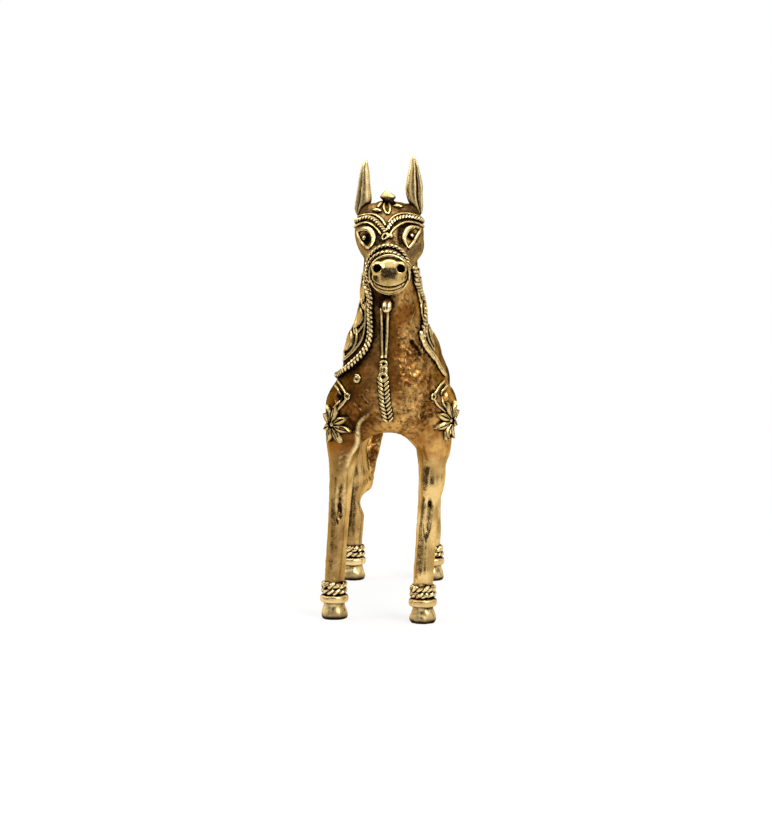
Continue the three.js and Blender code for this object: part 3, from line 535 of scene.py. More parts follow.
def part_skin(names, corners, faces, owner, wear_and_highlight):
    """One closed piece of the skin for each CAD node, shaded as if it were never cut."""
    normals = normals_of(corners, faces)
    # How far each place stands out, plus the strip's brightening, which is wear and a painted highlight
    points = points_of(corners, edges_of(faces)[0], normals) + wear_and_highlight
    for number, name in enumerate(names):
        own = faces[owner == number]
        used, renumbered = np.unique(own, return_inverse=True)
        own = renumbered.reshape(-1, 4)
        closed, fans = cap(corners[used], own)
        hidden = len(closed) - len(used)
        outs = np.concatenate([normals[used], np.tile(UPWARD, (hidden, 1))])
        levels = np.concatenate([points[used], np.full(hidden, FLAT)])
        finish = SKIN_FINISHES.get(name, "brass_legs")
        add_piece(name, (closed, own.tolist() + fans), finish, normals=outs, points=levels)


# Lines and places on the skin

SPAN_STEPS = 12
PIXEL_STEP = 1.0
TRACE_STEP = 0.6
RUN_STEP = 0.5


def lengths(line):
    """How far along a line each of its points lies."""
    return np.concatenate([[0.0], np.cumsum(np.linalg.norm(np.diff(line, axis=0), axis=1))])


def even(line, step, loop=False):
    """The same line with points about `step` apart, measured by its first three columns."""
    if loop:
        line = np.concatenate([line, line[:1]])
    far = lengths(line[:, :3])
    count = max(2, round(far[-1] / step))
    at = np.linspace(0, far[-1], count + 1)[: count if loop else count + 1]
    return np.stack([np.interp(at, far, column) for column in line.T], axis=1)


def smooth_line(stops, step, loop=False):
    """Even steps along a smooth line through the stops."""
    stops = np.array(stops, float)
    last = len(stops) - 1
    pick = (lambda k: stops[k % (last + 1)]) if loop else (lambda k: stops[min(max(k, 0), last)])
    fine = []
    for i in range(last + 1 if loop else last):
        a, b, c, d = (pick(i + k) for k in (-1, 0, 1, 2))
        for u in np.linspace(0, 1, SPAN_STEPS, endpoint=False):
            bend = (2 * a - 5 * b + 4 * c - d) * u * u + (3 * b - a - 3 * c + d) * u**3
            fine.append(b + 0.5 * ((c - a) * u + bend))
    if not loop:
        fine.append(stops[-1])
    return even(np.array(fine), step, loop)


class Skin:
    """The carved surface that ornaments lie on. A hit is a row of place and outward direction."""

    def __init__(self, corners, faces):
        self.faces = faces
        self.normals = normals_of(corners, faces)
        self.tree = BVHTree.FromPolygons(corners.tolist(), faces.tolist())

    def hit(self, found):
        place, _, index, _ = found
        return np.concatenate([place, unit(self.normals[self.faces[index]].mean(axis=0))])

    def seen(self, pixel):
        """What the photograph's camera meets at a pixel, or None."""
        found = self.tree.ray_cast(Vector(EYE), Vector(ray(pixel)))
        return None if found[0] is None else self.hit(found)

    def nearest(self, place):
        return self.hit(self.tree.find_nearest(Vector(place)))

    def under(self, place, out, reach=5.0):
        """The skin straight below a place that is held up along `out`, or else the nearest skin."""
        found = self.tree.ray_cast(Vector(place + reach * out), Vector(-out), 2 * reach)
        return self.nearest(place) if found[0] is None else self.hit(found)


def settled(hits, step=0.22, passes=5, loop=False):
    """Hits along a line, evenly spaced and smoothed, as places and outward directions."""
    rows = even(np.array(hits), step, loop)
    for _ in range(passes):
        if loop:
            rows = (np.roll(rows, 1, 0) + 2 * rows + np.roll(rows, -1, 0)) / 4
        else:
            rows[1:-1] = (rows[:-2] + 2 * rows[1:-1] + rows[2:]) / 4
    return rows[:, :3], unit(rows[:, 3:])


def on_from(hit, moves):
    """Hits on the skin from a hit, through places that are moves away from it in millimetres."""
    stops = [hit[:3], *(hit[:3] + np.array(move) for move in moves)]
    return [skin.nearest(stop) for stop in smooth_line(stops, RUN_STEP)[1:]] if moves else []


def drawn(pixels, loop=False, before=(), after=()):
    """A line on the skin through pixels of the photograph, with moves that carry it on out of sight."""
    hits = [skin.seen(pixel) for pixel in smooth_line(pixels, PIXEL_STEP, loop)]
    hits = [hit for hit in hits if hit is not None]
    return settled([*on_from(hits[0], before)[::-1], *hits, *on_from(hits[-1], after)], loop=loop)


def traced(stops, loop=False):
    """A line on the skin that keeps close to stops in space."""
    return settled([skin.nearest(stop) for stop in smooth_line(stops, TRACE_STEP, loop)], loop=loop)


def laid(spots, out, loop=False):
    """A line on the skin straight below spots that are held up along `out`."""
    return settled([skin.under(spot, out) for spot in spots], loop=loop)


def mirrored(places):
    """Places on the other side of the horse's mid-plane."""
    return np.array(places) * [-1, 1, 1] + [2 * MIDDLE, 0, 0]


# Cords, ropes, beads and leaves

TIP_REACH = 0.6
ROPE_LIFT = 0.3
STRAND_SIDES = 7
# Shares of the length at which a leaf and the line round it begin and end
LEAF_SPAN = (0.03, 0.97)
LEAF_EDGE_SPAN = (0.01, 0.97)
LEAF_EDGE_STOPS = 16
LEAF_SINK = 0.5
# Powers that move the widest part of a leaf and blunt its ends
LEAF_SHAPE = (0.85, 0.95)
# A split leaf has this height at its edge, and a cleft of a depth and width, in shares
SPLIT_EDGE = 0.6
SPLIT_CLEFT = (0.45, 0.13)
# A rimmed leaf has this height inside a rim that lies and is as broad as these shares
RIMMED_FLOOR = 0.65
LEAF_RIM = (0.8, 0.2)
CIRCLE_STOPS = 20
# A braid's lobes: slant, place across and up, and length, width and height in shares of width and step
BRAID_SLANT = 1.05
BRAID_PLACE = (0.23, 0.22)
BRAID_LOBE = (0.72, 0.72, 0.95)
TOUCH = 0.01


def angles_round(count):
    """Even angles round a circle."""
    return 2 * np.pi * np.arange(count) / count


def spokes(turn):
    """Directions at angles round the Z axis."""
    return np.stack([np.cos(turn), np.sin(turn), 0 * turn], axis=1)


def squared(turn, power):
    """How far a square with round corners reaches at an angle, where a circle reaches 1."""
    return 1 / (np.abs(np.cos(turn)) ** power + np.abs(np.sin(turn)) ** power) ** (1 / power)


def frames(places, outs, loop=False):
    """Directions along, across and out of a line."""
    if loop:
        along = unit(np.roll(places, -1, 0) - np.roll(places, 1, 0))
    else:
        along = unit(np.gradient(places, axis=0))
    across = unit(np.cross(along, outs))
    return along, across, np.cross(across, along)


def skinned(rings, loop=False, tips=None):
    """A closed mesh over rings of points. A tip closes each end of an open one."""
    count, sides = rings.shape[:2]
    faces = []
    for i in range(count if loop else count - 1):
        for k in range(sides):
            a, b = i * sides + k, i * sides + (k + 1) % sides
            c, d = ((i + 1) % count) * sides + (k + 1) % sides, ((i + 1) % count) * sides + k
            faces.append((a, d, c, b))
    corners = rings.reshape(-1, 3)
    if not loop:
        corners = np.concatenate([corners, tips])
        for k in range(sides):
            faces.append((count * sides, k, (k + 1) % sides))
            base = (count - 1) * sides
            faces.append((count * sides + 1, base + (k + 1) % sides, base + k))
    return corners, faces


def sweep(line, width, height=None, lift=0.0, sides=8, loop=False):
    """A cord of an oval section along a line. Its width and height may change on the way."""
    places, outs = line
    along, across, ups = frames(places, outs, loop)
    sizes = (width, width if height is None else height)
    half, tall = (np.broadcast_to(np.asarray(s) / 2, len(places))[:, None, None] for s in sizes)
    centre = places + ups * lift
    turn = angles_round(sides)[None, :, None]
    rings = centre[:, None] + across[:, None] * half * np.cos(turn) + ups[:, None] * tall * np.sin(turn)
    reach = TIP_REACH * half[[0, -1], 0]
    tips = centre[[0, -1]] + along[[0, -1]] * reach * [[-1], [1]]
    return skinned(rings, loop, tips)


def rope(line, width, lay, lift=None, strands=2, plump=0.54, loop=False):
    """Strands twisted round each other, pressed a little into what they lie on."""
    places, outs = line
    _, across, ups = frames(places, outs, loop)
    far = lengths(np.concatenate([places, places[:1]]) if loop else places)
    turns = max(1, round(far[-1] / lay)) if loop else far[-1] / lay
    share = far[: len(places)] / far[-1]
    raised = places + ups * (width * ROPE_LIFT if lift is None else lift)
    made = []
    for strand in range(strands):
        turn = 2 * np.pi * (turns * share + strand / strands)[:, None]
        centre = raised + (across * np.cos(turn) + ups * np.sin(turn)) * width / 4
        made.append(sweep((centre, outs), width * plump, sides=STRAND_SIDES, loop=loop))
    return merged(*made)


def lobe(place, along, out, length, width, height, turns=10, levels=7):
    """A rounded drop of wax: an ellipsoid with its long axis along `along`."""
    across = np.cross(along, out)
    angle = np.pi * (np.arange(1, levels) / levels)[:, None, None]
    turn = angles_round(turns)[None, :, None]
    ring = across * width / 2 * np.cos(turn) + out * height / 2 * np.sin(turn)
    rings = place - along * length / 2 * np.cos(angle) + ring * np.sin(angle)
    return skinned(rings, tips=np.array([place - along * length / 2, place + along * length / 2]))


def flat_frame(hit, way=UPWARD):
    """Directions along, across and out at a hit, with `way` laid down on the skin."""
    out = hit[3:]
    along = unit(np.array(way) - out * np.dot(way, out))
    return along, np.cross(along, out), out


def bead(hit, lift, size, way=UPWARD):
    """A drop of wax at a hit, with its length along `way`. Size is length, width and height."""
    along, _, out = flat_frame(hit, way)
    return lobe(hit[:3] + lift * out, along, out, *size)


def circle(hit, radius):
    """A round line on the skin about a hit."""
    along, across, out = flat_frame(hit)
    turns = angles_round(CIRCLE_STOPS)
    spots = [hit[:3] + radius * (along * math.cos(t) + across * math.sin(t)) for t in turns]
    return laid(spots, out, loop=True)


def slab(top, bottom, rows):
    """A closed mesh between two lists of points, each a grid of that many rows."""
    count = len(top)
    at = np.arange(count).reshape(rows, -1)
    a, b, c, d = at[:-1, :-1].ravel(), at[:-1, 1:].ravel(), at[1:, 1:].ravel(), at[1:, :-1].ravel()
    rim = np.concatenate([at[0, :-1], at[:-1, -1], at[-1, :0:-1], at[:0:-1, 0]])
    after = np.roll(rim, -1)
    upper = np.stack([a, b, c, d], axis=1)
    lower = np.stack([a, d, c, b], axis=1) + count
    walls = np.stack([after, rim, rim + count, after + count], axis=1)
    faces = np.concatenate([upper, lower, walls]).tolist()
    return np.array(top + bottom), [tuple(face) for face in faces]


def leaf_half(u, width):
    """Half the width of a leaf at a share of its length."""
    lean, blunt = LEAF_SHAPE
    return width / 2 * math.sin(math.pi * u**lean) ** blunt


def leaf(hit, way, length, width, thick, split, rows=15, columns=14):
    """A relief leaf from its base at a hit, bent to the skin: split down the middle, or rimmed."""
    along, across, out = flat_frame(hit, way)
    top, bottom = [], []
    for u in np.linspace(*LEAF_SPAN, rows):
        half = leaf_half(u, width)
        for v in np.linspace(-1, 1, columns + 1):
            foot = skin.under(hit[:3] + along * (u * length) + across * (v * half), out)[:3]
            if split:
                depth, breadth = SPLIT_CLEFT
                rise = SPLIT_EDGE + (1 - SPLIT_EDGE) * (1 - v * v) - depth * math.exp(-((v / breadth) ** 2))
            else:
                place, breadth = LEAF_RIM
                rim = math.exp(-(((abs(v) - place) / breadth) ** 2))
                rise = RIMMED_FLOOR + (1 - RIMMED_FLOOR) * rim
            top.append(foot + out * thick * rise)
            bottom.append(foot - out * LEAF_SINK)
    return slab(top, bottom, rows)


def leaf_edge(hit, way, length, width):
    """The closed line round a leaf on the skin."""
    along, across, out = flat_frame(hit, way)
    spots = []
    for side in (1, -1):
        for u in np.linspace(*LEAF_EDGE_SPAN, LEAF_EDGE_STOPS)[::side]:
            spots.append(hit[:3] + along * (u * length) + across * (side * leaf_half(u, width)))
    return laid(spots, out, loop=True)


def braid(line, width, step):
    """Pairs of slanted lobes that meet in points along a line."""
    places, outs = line
    along, across, ups = frames(places, outs)
    spacing = np.linalg.norm(places[1] - places[0])
    aside, above = BRAID_PLACE
    size = np.array(BRAID_LOBE) * [width, step, step]
    made = []
    for i in range(0, len(places), max(1, round(step / spacing))):
        for side in (1, -1):
            way = unit(along[i] * BRAID_SLANT - side * across[i])
            middle = places[i] + side * across[i] * width * aside + ups[i] * step * above
            made.append(lobe(middle, way, ups[i], *size))
    return merged(*made)


def roughened(mesh, depth, size):
    """The mesh with the small unevenness of hand-rolled wax, kept above the floor."""
    corners, faces = mesh
    moves = np.array([noise.noise_vector(Vector(corner) / size) for corner in corners.tolist()])
    moved = corners + depth * moves
    moved[:, 2] = np.where(corners[:, 2] <= TOUCH, corners[:, 2], np.maximum(moved[:, 2], 0.0))
    return moved, faces


# Carving the skin

chest_low, chest_high = box_of("chest_and_neck")
MIDDLE = (chest_low[0] + chest_high[0]) / 2
# Pixel, reach and depth in millimetres. The skin sinks in, or swells out where depth is negative
PRESSES = [
    ((361, 226), 10.0, -1.0),
    ((421, 226), 9.0, -0.3),
    ((415, 249), 8.0, -1.9),
    ((418, 242), 6.0, -0.7),
    ((370, 211), 5.5, -1.8),
    ((411, 210), 5.5, -1.7),
    ((394, 200.5), 7.0, 1.2),
    ((366, 239), 3.6, 1.7),
    ((411, 237), 3.4, 1.7),
    ((378, 240), 4.0, 2.2),
    ((397, 240), 3.6, 1.4),
    ((340, 397), 2.4, 2.4),
    ((444, 394), 2.4, 1.8),
    ((383, 295.5), 6.0, 4.0),
    ((369, 452), 9.0, 1.6),
    ((357, 343), 10.0, -2.0),
    ((350, 361), 6.0, -1.6),
    ((441, 450), 9.0, -1.5),
    ((438, 482), 8.0, -1.3),
    ((366, 499), 6.0, 2.2),
]
# A place in millimetres, reach and depth
NAPE = ((0.5, -18.0, 138.0), 11.0, 3.5)
# Lines of pixels
CHEST_MARKS = [
    [(405.5, 349), (408, 350.5), (409.5, 353)],
    [(404, 291), (402.5, 296.5), (405, 301.5), (409, 303)],
    [(411.5, 293), (414, 299), (412.5, 306)],
    [(416, 308), (413, 315), (411, 321.5)],
    [(408, 326), (412, 329), (417, 330)],
    [(418, 357), (424, 364), (430, 369)],
    [(359.5, 395.5), (362.5, 394.5), (364, 397.5)],
    [(354.5, 403), (358, 407), (361.5, 409.5)],
    [(365, 399), (368, 401.5), (367, 405)],
    [(366.5, 389.5), (370, 391)],
]
# Sets of strokes: reach and depth in millimetres, and lines of pixels
RELIEF = (0.8, -0.42, CHEST_MARKS)
MOATS = (1.7, 0.09, CHEST_MARKS)
LEG_RIDGES = (2.4, -0.15, [
    [(377, 408), (369, 413), (361, 421), (356, 434), (351, 452), (347, 468)],
    [(412.5, 407), (418, 421), (427, 435), (430, 446), (432, 458)],
])
SLITS = (1.0, 1.2, [[(411.5, 341), (416, 347), (420.5, 353.5)], [(384.6, 322), (384.4, 340), (384.1, 356)]])
EYE_GROOVES = (1.5, 0.42, [
    [(360, 227.5), (366, 225.8), (371.5, 227), (375.8, 231.5), (377.5, 238), (377, 244)],
    [(416, 226), (410, 225), (404, 226.2), (401.2, 231), (401.3, 238.5), (404, 246)],
])
TAIL_KNOTS = (1.7, -0.26, [
    [(373, 447.5), (378, 445.5)],
    [(371, 459), (375.3, 457.2)],
    [(368.5, 470.5), (372, 469)],
    [(367, 481.5), (369.8, 480.5)],
])
LEG_HATCH = (0.9, 0.22, [
    [(341.4, 455), (349.2, 451)],
    [(341.4, 460.3), (348, 455.7)],
    [(341.4, 465.5), (346.6, 461.6)],
])
# Steps in pixels along a stroke, and along the lines of the keels, the seams and the strip
STROKE_STEP = 1.5
LINE_STEP = 0.7
LEG_KEELS = [
    [(345, 462), (340, 500), (336, 545), (334, 577)],
    [(432.6, 478), (431, 500), (426, 540), (425, 576)],
]
LEG_STRIP = [(374, 410), (368, 414.5), (360, 422), (354.5, 437), (349.5, 454), (345.5, 470)]
STRIP_HALF = 1.3
STRIP_RISE = 1.0
# How much the strip's crest is brightened, as wear and as a painted highlight
STRIP_WEAR_AND_HIGHLIGHT = 0.06
STRIP_TAPER = 1 / 3
LEG_SEAMS = [
    [(341.8, 478), (340, 500), (338.8, 523)],
    [(432, 472), (431, 488), (429, 512), (425.4, 541)],
]
SEAM_REACH = 0.65
SEAM_DEPTH = 1.4
SEAM_TAPER = 0.25
# Depth, size in millimetres, stretch along Z and spread of the pits in a seam
SEAM_PITS = (1.8, 1 / 1.1, 2.5, 0.1)
KEEL_REACH = 3.4
KEEL_RISE = 1.0
KEEL_TAPER = 0.25
LEG_TOP = chest_low[2]
# Height and size in millimetres of the casting's lumps and of the streaks on its legs, and their stretch
COARSE_LUMPS = (0.11, 3.2, 1.0)
FINE_LUMPS = (0.07, 1.1, 1.0)
STREAKS = (0.22, 1.7, 8.0)
# Places in millimetres in the inside corners between chest and fore legs, with reach and depth
CROTCHES = [((8.2, -33.0, 61.4), 8.0, 2.0), ((-8.8, -33.0, 61.4), 8.0, 2.0)]
# Height, reach and depth in millimetres
ANKLES = (12.0, 1.5, 0.9)
# Size, height and bounds in millimetres of the worm-like relief beside the strap
CRAWL_SIZE = 2.8
CRAWL_RISE = 0.42
CRAWL_LOW = (1.0, 64.0)
CRAWL_HIGH = (18.0, 100.0)
CRAWL_FADE = 3.0
CRAWL_STRETCH = 0.6
CRAWL_BREADTH = 0.15
CRAWL_FACING = 0.5


def share_near(corners, place, reach):
    """1 at a place, falling smoothly to 0 at `reach` from it."""
    near = np.linalg.norm(corners - place, axis=1) / reach
    return np.clip(1 - near**2, 0, None) ** 2


def press(corners, normals, place, reach, depth):
    """Pushes the skin in round a place, or out where depth is negative."""
    corners -= normals * (depth * share_near(corners, place, reach))[:, None]


def fill(corners, normals, hit, reach, depth):
    """Fills an inside corner with the skin round a hit that faces the same way."""
    share = share_near(corners, hit[:3], reach) * np.clip(normals @ hit[3:], 0, None)
    corners += hit[3:] * (depth * share)[:, None]


def ragged(corners, height, size, stretch):
    """Smooth noise at the corners, of a height and a size, drawn out along Z."""
    scaled = corners / size / np.array([1.0, 1.0, stretch])
    return height * np.array([noise.noise(Vector(place)) for place in scaled.tolist()])


def drawn_in(along, taper):
    """1 along a line, and less in the share of it at either end."""
    return np.clip(np.minimum(along, 1 - along) / taper, 0, 1)


def near_line(corners, line, reach):
    """Corners within reach of a line of places: their numbers, how far off and how far along it."""
    low = np.nonzero(corners[:, 2] < np.max(line, axis=0)[2] + reach)[0]
    away = np.array([np.linalg.norm(corners[low] - place, axis=1) for place in line])
    nearest = away.min(axis=0)
    near = nearest < reach
    return low[near], nearest[near], away.argmin(axis=0)[near] / (len(line) - 1)


def keel(corners, normals, line):
    """A blunt edge down a line of places, which rises from nothing at its top."""
    near, away, along = near_line(corners, line, KEEL_REACH)
    rise = KEEL_RISE * np.clip(along / KEEL_TAPER, 0, 1) * (1 - away / KEEL_REACH)
    corners[near] += normals[near] * rise[:, None]


def strip(corners, normals, line):
    """A roof-shaped strip along a line of places. Returns how much its crest is brightened, as wear and as
    a painted highlight.
    """
    near, away, along = near_line(corners, line, STRIP_HALF)
    share = drawn_in(along, STRIP_TAPER) * (1 - away / STRIP_HALF)
    corners[near] += normals[near] * (STRIP_RISE * share)[:, None]
    wear_and_highlight = np.zeros(len(corners))
    wear_and_highlight[near] = STRIP_WEAR_AND_HIGHLIGHT * share
    return wear_and_highlight


def seam(corners, normals, line):
    """A pitted groove along a line of places, shallow at its ends."""
    near, away, along = near_line(corners, line, 3 * SEAM_REACH)
    height, size, stretch, spread = SEAM_PITS
    pits = height * np.clip(ragged(corners[near], 1.0, size, stretch) + spread, 0, None)
    depth = (SEAM_DEPTH + pits) * drawn_in(along, SEAM_TAPER)
    corners[near] -= normals[near] * (depth * np.exp(-((away / SEAM_REACH) ** 2)))[:, None]


def crawl(corners, normals):
    """Low worm-like relief on the front of the chest."""
    share = np.clip(-normals[:, 1] / CRAWL_FACING, 0, 1)
    for axis, low, high in zip((0, 2), CRAWL_LOW, CRAWL_HIGH):
        inside = np.minimum(corners[:, axis] - low, high - corners[:, axis])
        share *= np.clip(inside / CRAWL_FADE, 0, 1)
    near = np.nonzero(share > 0)[0]
    worms = ragged(corners[near], 1.0, CRAWL_SIZE, CRAWL_STRETCH)
    ridge = np.exp(-((worms / CRAWL_BREADTH) ** 2))
    corners[near] += normals[near] * (CRAWL_RISE * share[near] * ridge)[:, None]


def stroke(corners, plain, reach, depth, lines):
    """Presses the skin along lines of pixels, which are looked up on the plain skin."""
    for pixels in lines:
        for pixel in smooth_line(pixels, STROKE_STEP):
            press(corners, plain.normals, plain.seen(pixel)[:3], reach, depth)


def carve(corners, faces):
    """Carves all this into the skin, and gives it the lumps of a casting. Returns how much the strip is
    brightened, as wear and as a painted highlight.
    """
    plain = Skin(corners, faces)

    def line(pixels):
        return [plain.seen(pixel)[:3] for pixel in smooth_line(pixels, LINE_STEP)]

    wear_and_highlight = strip(corners, plain.normals, line(LEG_STRIP))
    stroke(corners, plain, *LEG_RIDGES)
    for pixel, reach, depth in PRESSES:
        press(corners, plain.normals, plain.seen(pixel)[:3], reach, depth)
    place, reach, depth = NAPE
    press(corners, plain.normals, plain.nearest(place)[:3], reach, depth)
    for place, reach, depth in CROTCHES:
        fill(corners, plain.normals, plain.nearest(place), reach, depth)
    height, reach, depth = ANKLES
    swell = depth * np.exp(-(((corners[:, 2] - height) / reach) ** 2))
    corners += plain.normals * swell[:, None]
    crawl(corners, plain.normals)
    for strokes in (MOATS, RELIEF, SLITS, TAIL_KNOTS, LEG_HATCH, EYE_GROOVES):
        stroke(corners, plain, *strokes)
    for cut, lines in ((seam, LEG_SEAMS), (keel, LEG_KEELS)):
        for pixels in lines:
            cut(corners, plain.normals, line(pixels))
    lumps = ragged(corners, *COARSE_LUMPS) + ragged(corners, *FINE_LUMPS)
    streaks = np.where(corners[:, 2] < LEG_TOP, ragged(corners, *STREAKS), 0.0)
    corners -= plain.normals * (lumps + streaks)[:, None]
    return wear_and_highlight


names, skin_corners, skin_faces, skin_owner = cast_skin()
skin_wear_and_highlight = carve(skin_corners, skin_faces)
skin = Skin(skin_corners, skin_faces)
part_skin(names, skin_corners, skin_faces, skin_owner, skin_wear_and_highlight)

# Stock: rolled threads and twisted ropes

THREAD = 0.75
ROPE = 1.4
LAY = 2.5
WIDE_LAY = 3.0
BEAD_LIFT = 0.3
# Depth and size in millimetres of the unevenness of a piece
FINE_ROUGH = (0.12, 2.5)


def thread(line, width=THREAD, loop=False):
    return sweep(line, width, lift=width / 4, loop=loop)


def sided(moves, side):
    """Moves for one side of the horse, from those for its left."""
    return [(SIDES[side] * x, y, z) for x, y, z in moves]


# Brow: a rope between two threads over each eye, meeting between them

BROW_ROPE = [
    (356, 222.2), (360.5, 220), (367.5, 218), (374.5, 220.5), (380, 225.5), (386, 232),
    (390, 226), (394.5, 221), (402, 218), (410, 217.5), (418, 219), (421, 220.6),
]
BROW_UPPER = {
    "right": [(356, 218.5), (360, 216.2), (366, 214.8), (374.5, 215.2), (381.5, 219.5), (385.5, 226)],
    "left": [(421, 218), (416, 215.8), (408, 214), (401, 214.2), (394, 217), (388.5, 223)],
}
BROW_LOWER = {
    "right": [(356, 226.4), (359, 224.6), (364, 222.9), (370, 223.4), (376.5, 228), (381.5, 234.5)],
    "left": [
        (421, 225.6), (418.5, 224.2), (413, 222.6), (406, 222.2), (399.5, 225), (393.5, 230), (390.5, 234),
    ],
}
BROW_RUN = [(0.3, 3.5, -0.6), (0.0, 8.0, -1.0)]
brow_line = drawn(BROW_ROPE, before=sided(BROW_RUN, "right"), after=BROW_RUN)
add_piece("brow_rope", rope(brow_line, ROPE, LAY), "brass_worn")
for name, arches in (("brow_upper_thread", BROW_UPPER), ("brow_lower_thread", BROW_LOWER)):
    lines = [drawn(arch, before=sided(BROW_RUN, side)) for side, arch in arches.items()]
    add_piece(name, merged(*(thread(line) for line in lines)), "brass_polished")

# Eyes: a thick lid towards the nose, a thin one towards the cheek, and a ball between them

EYES = {
    "right": {
        "inner": [(358.5, 232), (363.5, 229), (369, 229.5), (373, 234), (373.8, 240.5), (370.5, 248.5)],
        "outer": [(370.5, 248.5), (366.5, 247), (362.5, 242.5), (359.5, 237), (358.5, 232)],
        "ball": (365.3, 238),
    },
    "left": {
        "inner": [(420, 229.5), (414, 227.8), (408.5, 229.3), (404.9, 234), (404.6, 240.5), (408, 249)],
        "outer": [(408, 249), (411, 245.5), (414.3, 241), (417.5, 235.5), (420, 229.5)],
        "ball": (411.2, 237),
    },
}
# Width and height of the thick lid, and the angles by which it is cut short of a half-wave
LID = (1.75, 1.5)
LID_LIFT = 0.3
LID_ENDS = (0.25, 0.2)
OUTER_LID = 1.0
BALL = (1.75, 1.75, 1.75)
BALL_LIFT = 0.35
for side, eye in EYES.items():
    inner = drawn(eye["inner"])
    bulge = np.sin(np.linspace(LID_ENDS[0], np.pi - LID_ENDS[1], len(inner[0])))
    lid = sweep(inner, LID[0] * bulge, LID[1] * bulge, lift=LID_LIFT)
    add_piece(f"eye_rim_{side}", merged(lid, thread(drawn(eye["outer"]), OUTER_LID)), "brass_polished")
    add_piece(f"eyeball_{side}", bead(skin.seen(eye["ball"]), BALL_LIFT, BALL), "brass_polished")

# Forehead: a ring and bead between the brows, a trefoil above them and a topknot on the poll

RING_WIRE = 0.9
RING_RADIUS = 1.05
RING_PIXEL = (385.6, 237)
BEAD_PIXEL = (390.2, 236.5)
BEAD = (1.9, 1.7, 1.7)
DROP_RING = [(386, 203), (389.5, 206), (390, 211), (387.8, 214.5), (385, 211.5), (383.6, 206.5)]
TREFOIL_LOBES = [((377, 211), (-1.0, 0.0, 0.25)), ((398, 207.3), (1.0, 0.0, -0.3))]
TREFOIL_LOBE = (3.0, 1.3, 1.3)


def ring(pixel, radius, wire):
    return thread(circle(skin.seen(pixel), radius), wire, loop=True)


add_piece("forehead_ring", ring(RING_PIXEL, RING_RADIUS, RING_WIRE), "brass_polished")
add_piece("forehead_bead", bead(skin.seen(BEAD_PIXEL), BEAD_LIFT, BEAD), "brass_polished")
trefoil = [bead(skin.seen(pixel), BEAD_LIFT, TREFOIL_LOBE, way) for pixel, way in TREFOIL_LOBES]
drop_ring = thread(drawn(DROP_RING, loop=True), loop=True)
add_piece("forehead_trefoil", merged(drop_ring, *trefoil), "brass_worn")

PEAK_PIXEL = (386.6, 189.3)
PEAK_FOOT_PIXEL = (388, 197.6)
PEAK_WIDTH = 5.0
PEAK_DEPTH = 0.7
PEAK_SIDES = 24
PEAK_SQUARE = 3
PEAK_ROOT = 1.1
PEAK_ROUGH = (0.12, 2.0)
# Shares of the height and of the width
PEAK_PROFILE = [
    (-1.0, 0.6), (-0.25, 0.75), (0.0, 0.97), (0.12, 1.0),
    (0.3, 0.86), (0.6, 0.5), (0.85, 0.2), (0.95, 0.08),
]
PEAK_ARCH = [(377.5, 208), (381, 204), (387, 201.8), (394, 203), (399, 207)]


def at_depth(pixel, y):
    """The place at a pixel, in the plane across the horse at y."""
    way = ray(pixel)
    return EYE + way * (y - EYE[1]) / way[1]


def topknot():
    """A small four-sided peak over an arch of thread."""
    low, high = box_of("topknot")
    y = (low[1] + 2 * high[1]) / 3
    foot, apex = at_depth(PEAK_FOOT_PIXEL, y), at_depth(PEAK_PIXEL, y)
    turn = angles_round(PEAK_SIDES)
    flat = spokes(turn) * squared(turn, PEAK_SQUARE)[:, None] * [1, PEAK_DEPTH, 1]
    rings = []
    for rise, reach in PEAK_PROFILE:
        rings.append(foot + rise * (apex - foot) + flat * PEAK_WIDTH / 2 * reach)
    tips = np.array([foot - PEAK_ROOT * (apex - foot), apex])
    peak = skinned(np.array(rings)[:, ::-1], tips=tips)
    return merged(roughened(peak, *PEAK_ROUGH), thread(drawn(PEAK_ARCH), RING_WIRE))


add_piece("topknot", topknot(), "brass_rubbed")

# Nose: hoops of thread and rope behind a round snout with a smiling mouth

HEAD_PITCH = math.radians(28)
SNOUT_PITCH = math.radians(10)
SNOUT_SHIFT = (0.6, 0.0, 1.1)
SNOUT_RADIUS = 5.7
SNOUT_LENGTH = 4.4
SNOUT_DROOP = 1.7
NOSTRIL_RADIUS = 1.4
NOSTRIL_DEPTH = 1.4
NOSTRIL_SPOT = (3.65, 2.6)
MOUTH_DROP = 3.1
MOUTH_SMILE = 0.055
MOUTH_GAPE = 0.5
LIP_SET_BACK = 0.15
# Place below the mouth, half width and depth of the crease under the lower lip
LIP_CREASE = (1.25, 0.2, 0.4)
SNOUT_BOX = ((-7, -7, -3), (7, 7, 6))
SNOUT_VOXEL = 0.2
SNOUT_POWER = 2.5
SNOUT_ROOT = 2.5
NOSTRIL_OUT = 0.68
# Swelling round a nostril: how far it is set in, how much wider it is, and the fillet round it
NOSTRIL_SWELL = (0.9, 0.55, 1.2)
HOOP_STEPS = 90
HOOP_SPAN = (-30, 210)
HOOP_RADIUS = 7
HOOP_REACH = 6.0
# How far behind the nose a rope lies, and how much farther at its top
NOSEBANDS = {"noseband_rope_1": (3.0, 1.3), "noseband_rope_2": (4.2, 3.3)}
NOSE_THREAD = 0.85
# Distance off the snout, place along it, and the angles from its left between which the thread lies
NOSE_THREADS = {"muzzle_thread": (0.45, 0.9, -22, 202), "chin_thread": (0.2, 1.3, 196, 344)}


def nose_axes(pitch):
    """Across, up and out of the face of a nose that points down by `pitch`."""
    out = np.array([0.0, -math.cos(pitch), -math.sin(pitch)])
    return np.array([[1.0, 0.0, 0.0], np.cross(out, [1.0, 0.0, 0.0]), out])


head_axes = nose_axes(HEAD_PITCH)
head_corners = node_mesh("head")[0]
head_reach = head_corners @ head_axes[2]
nose_root = head_corners[head_reach > head_reach.max() - TOUCH].mean(axis=0)


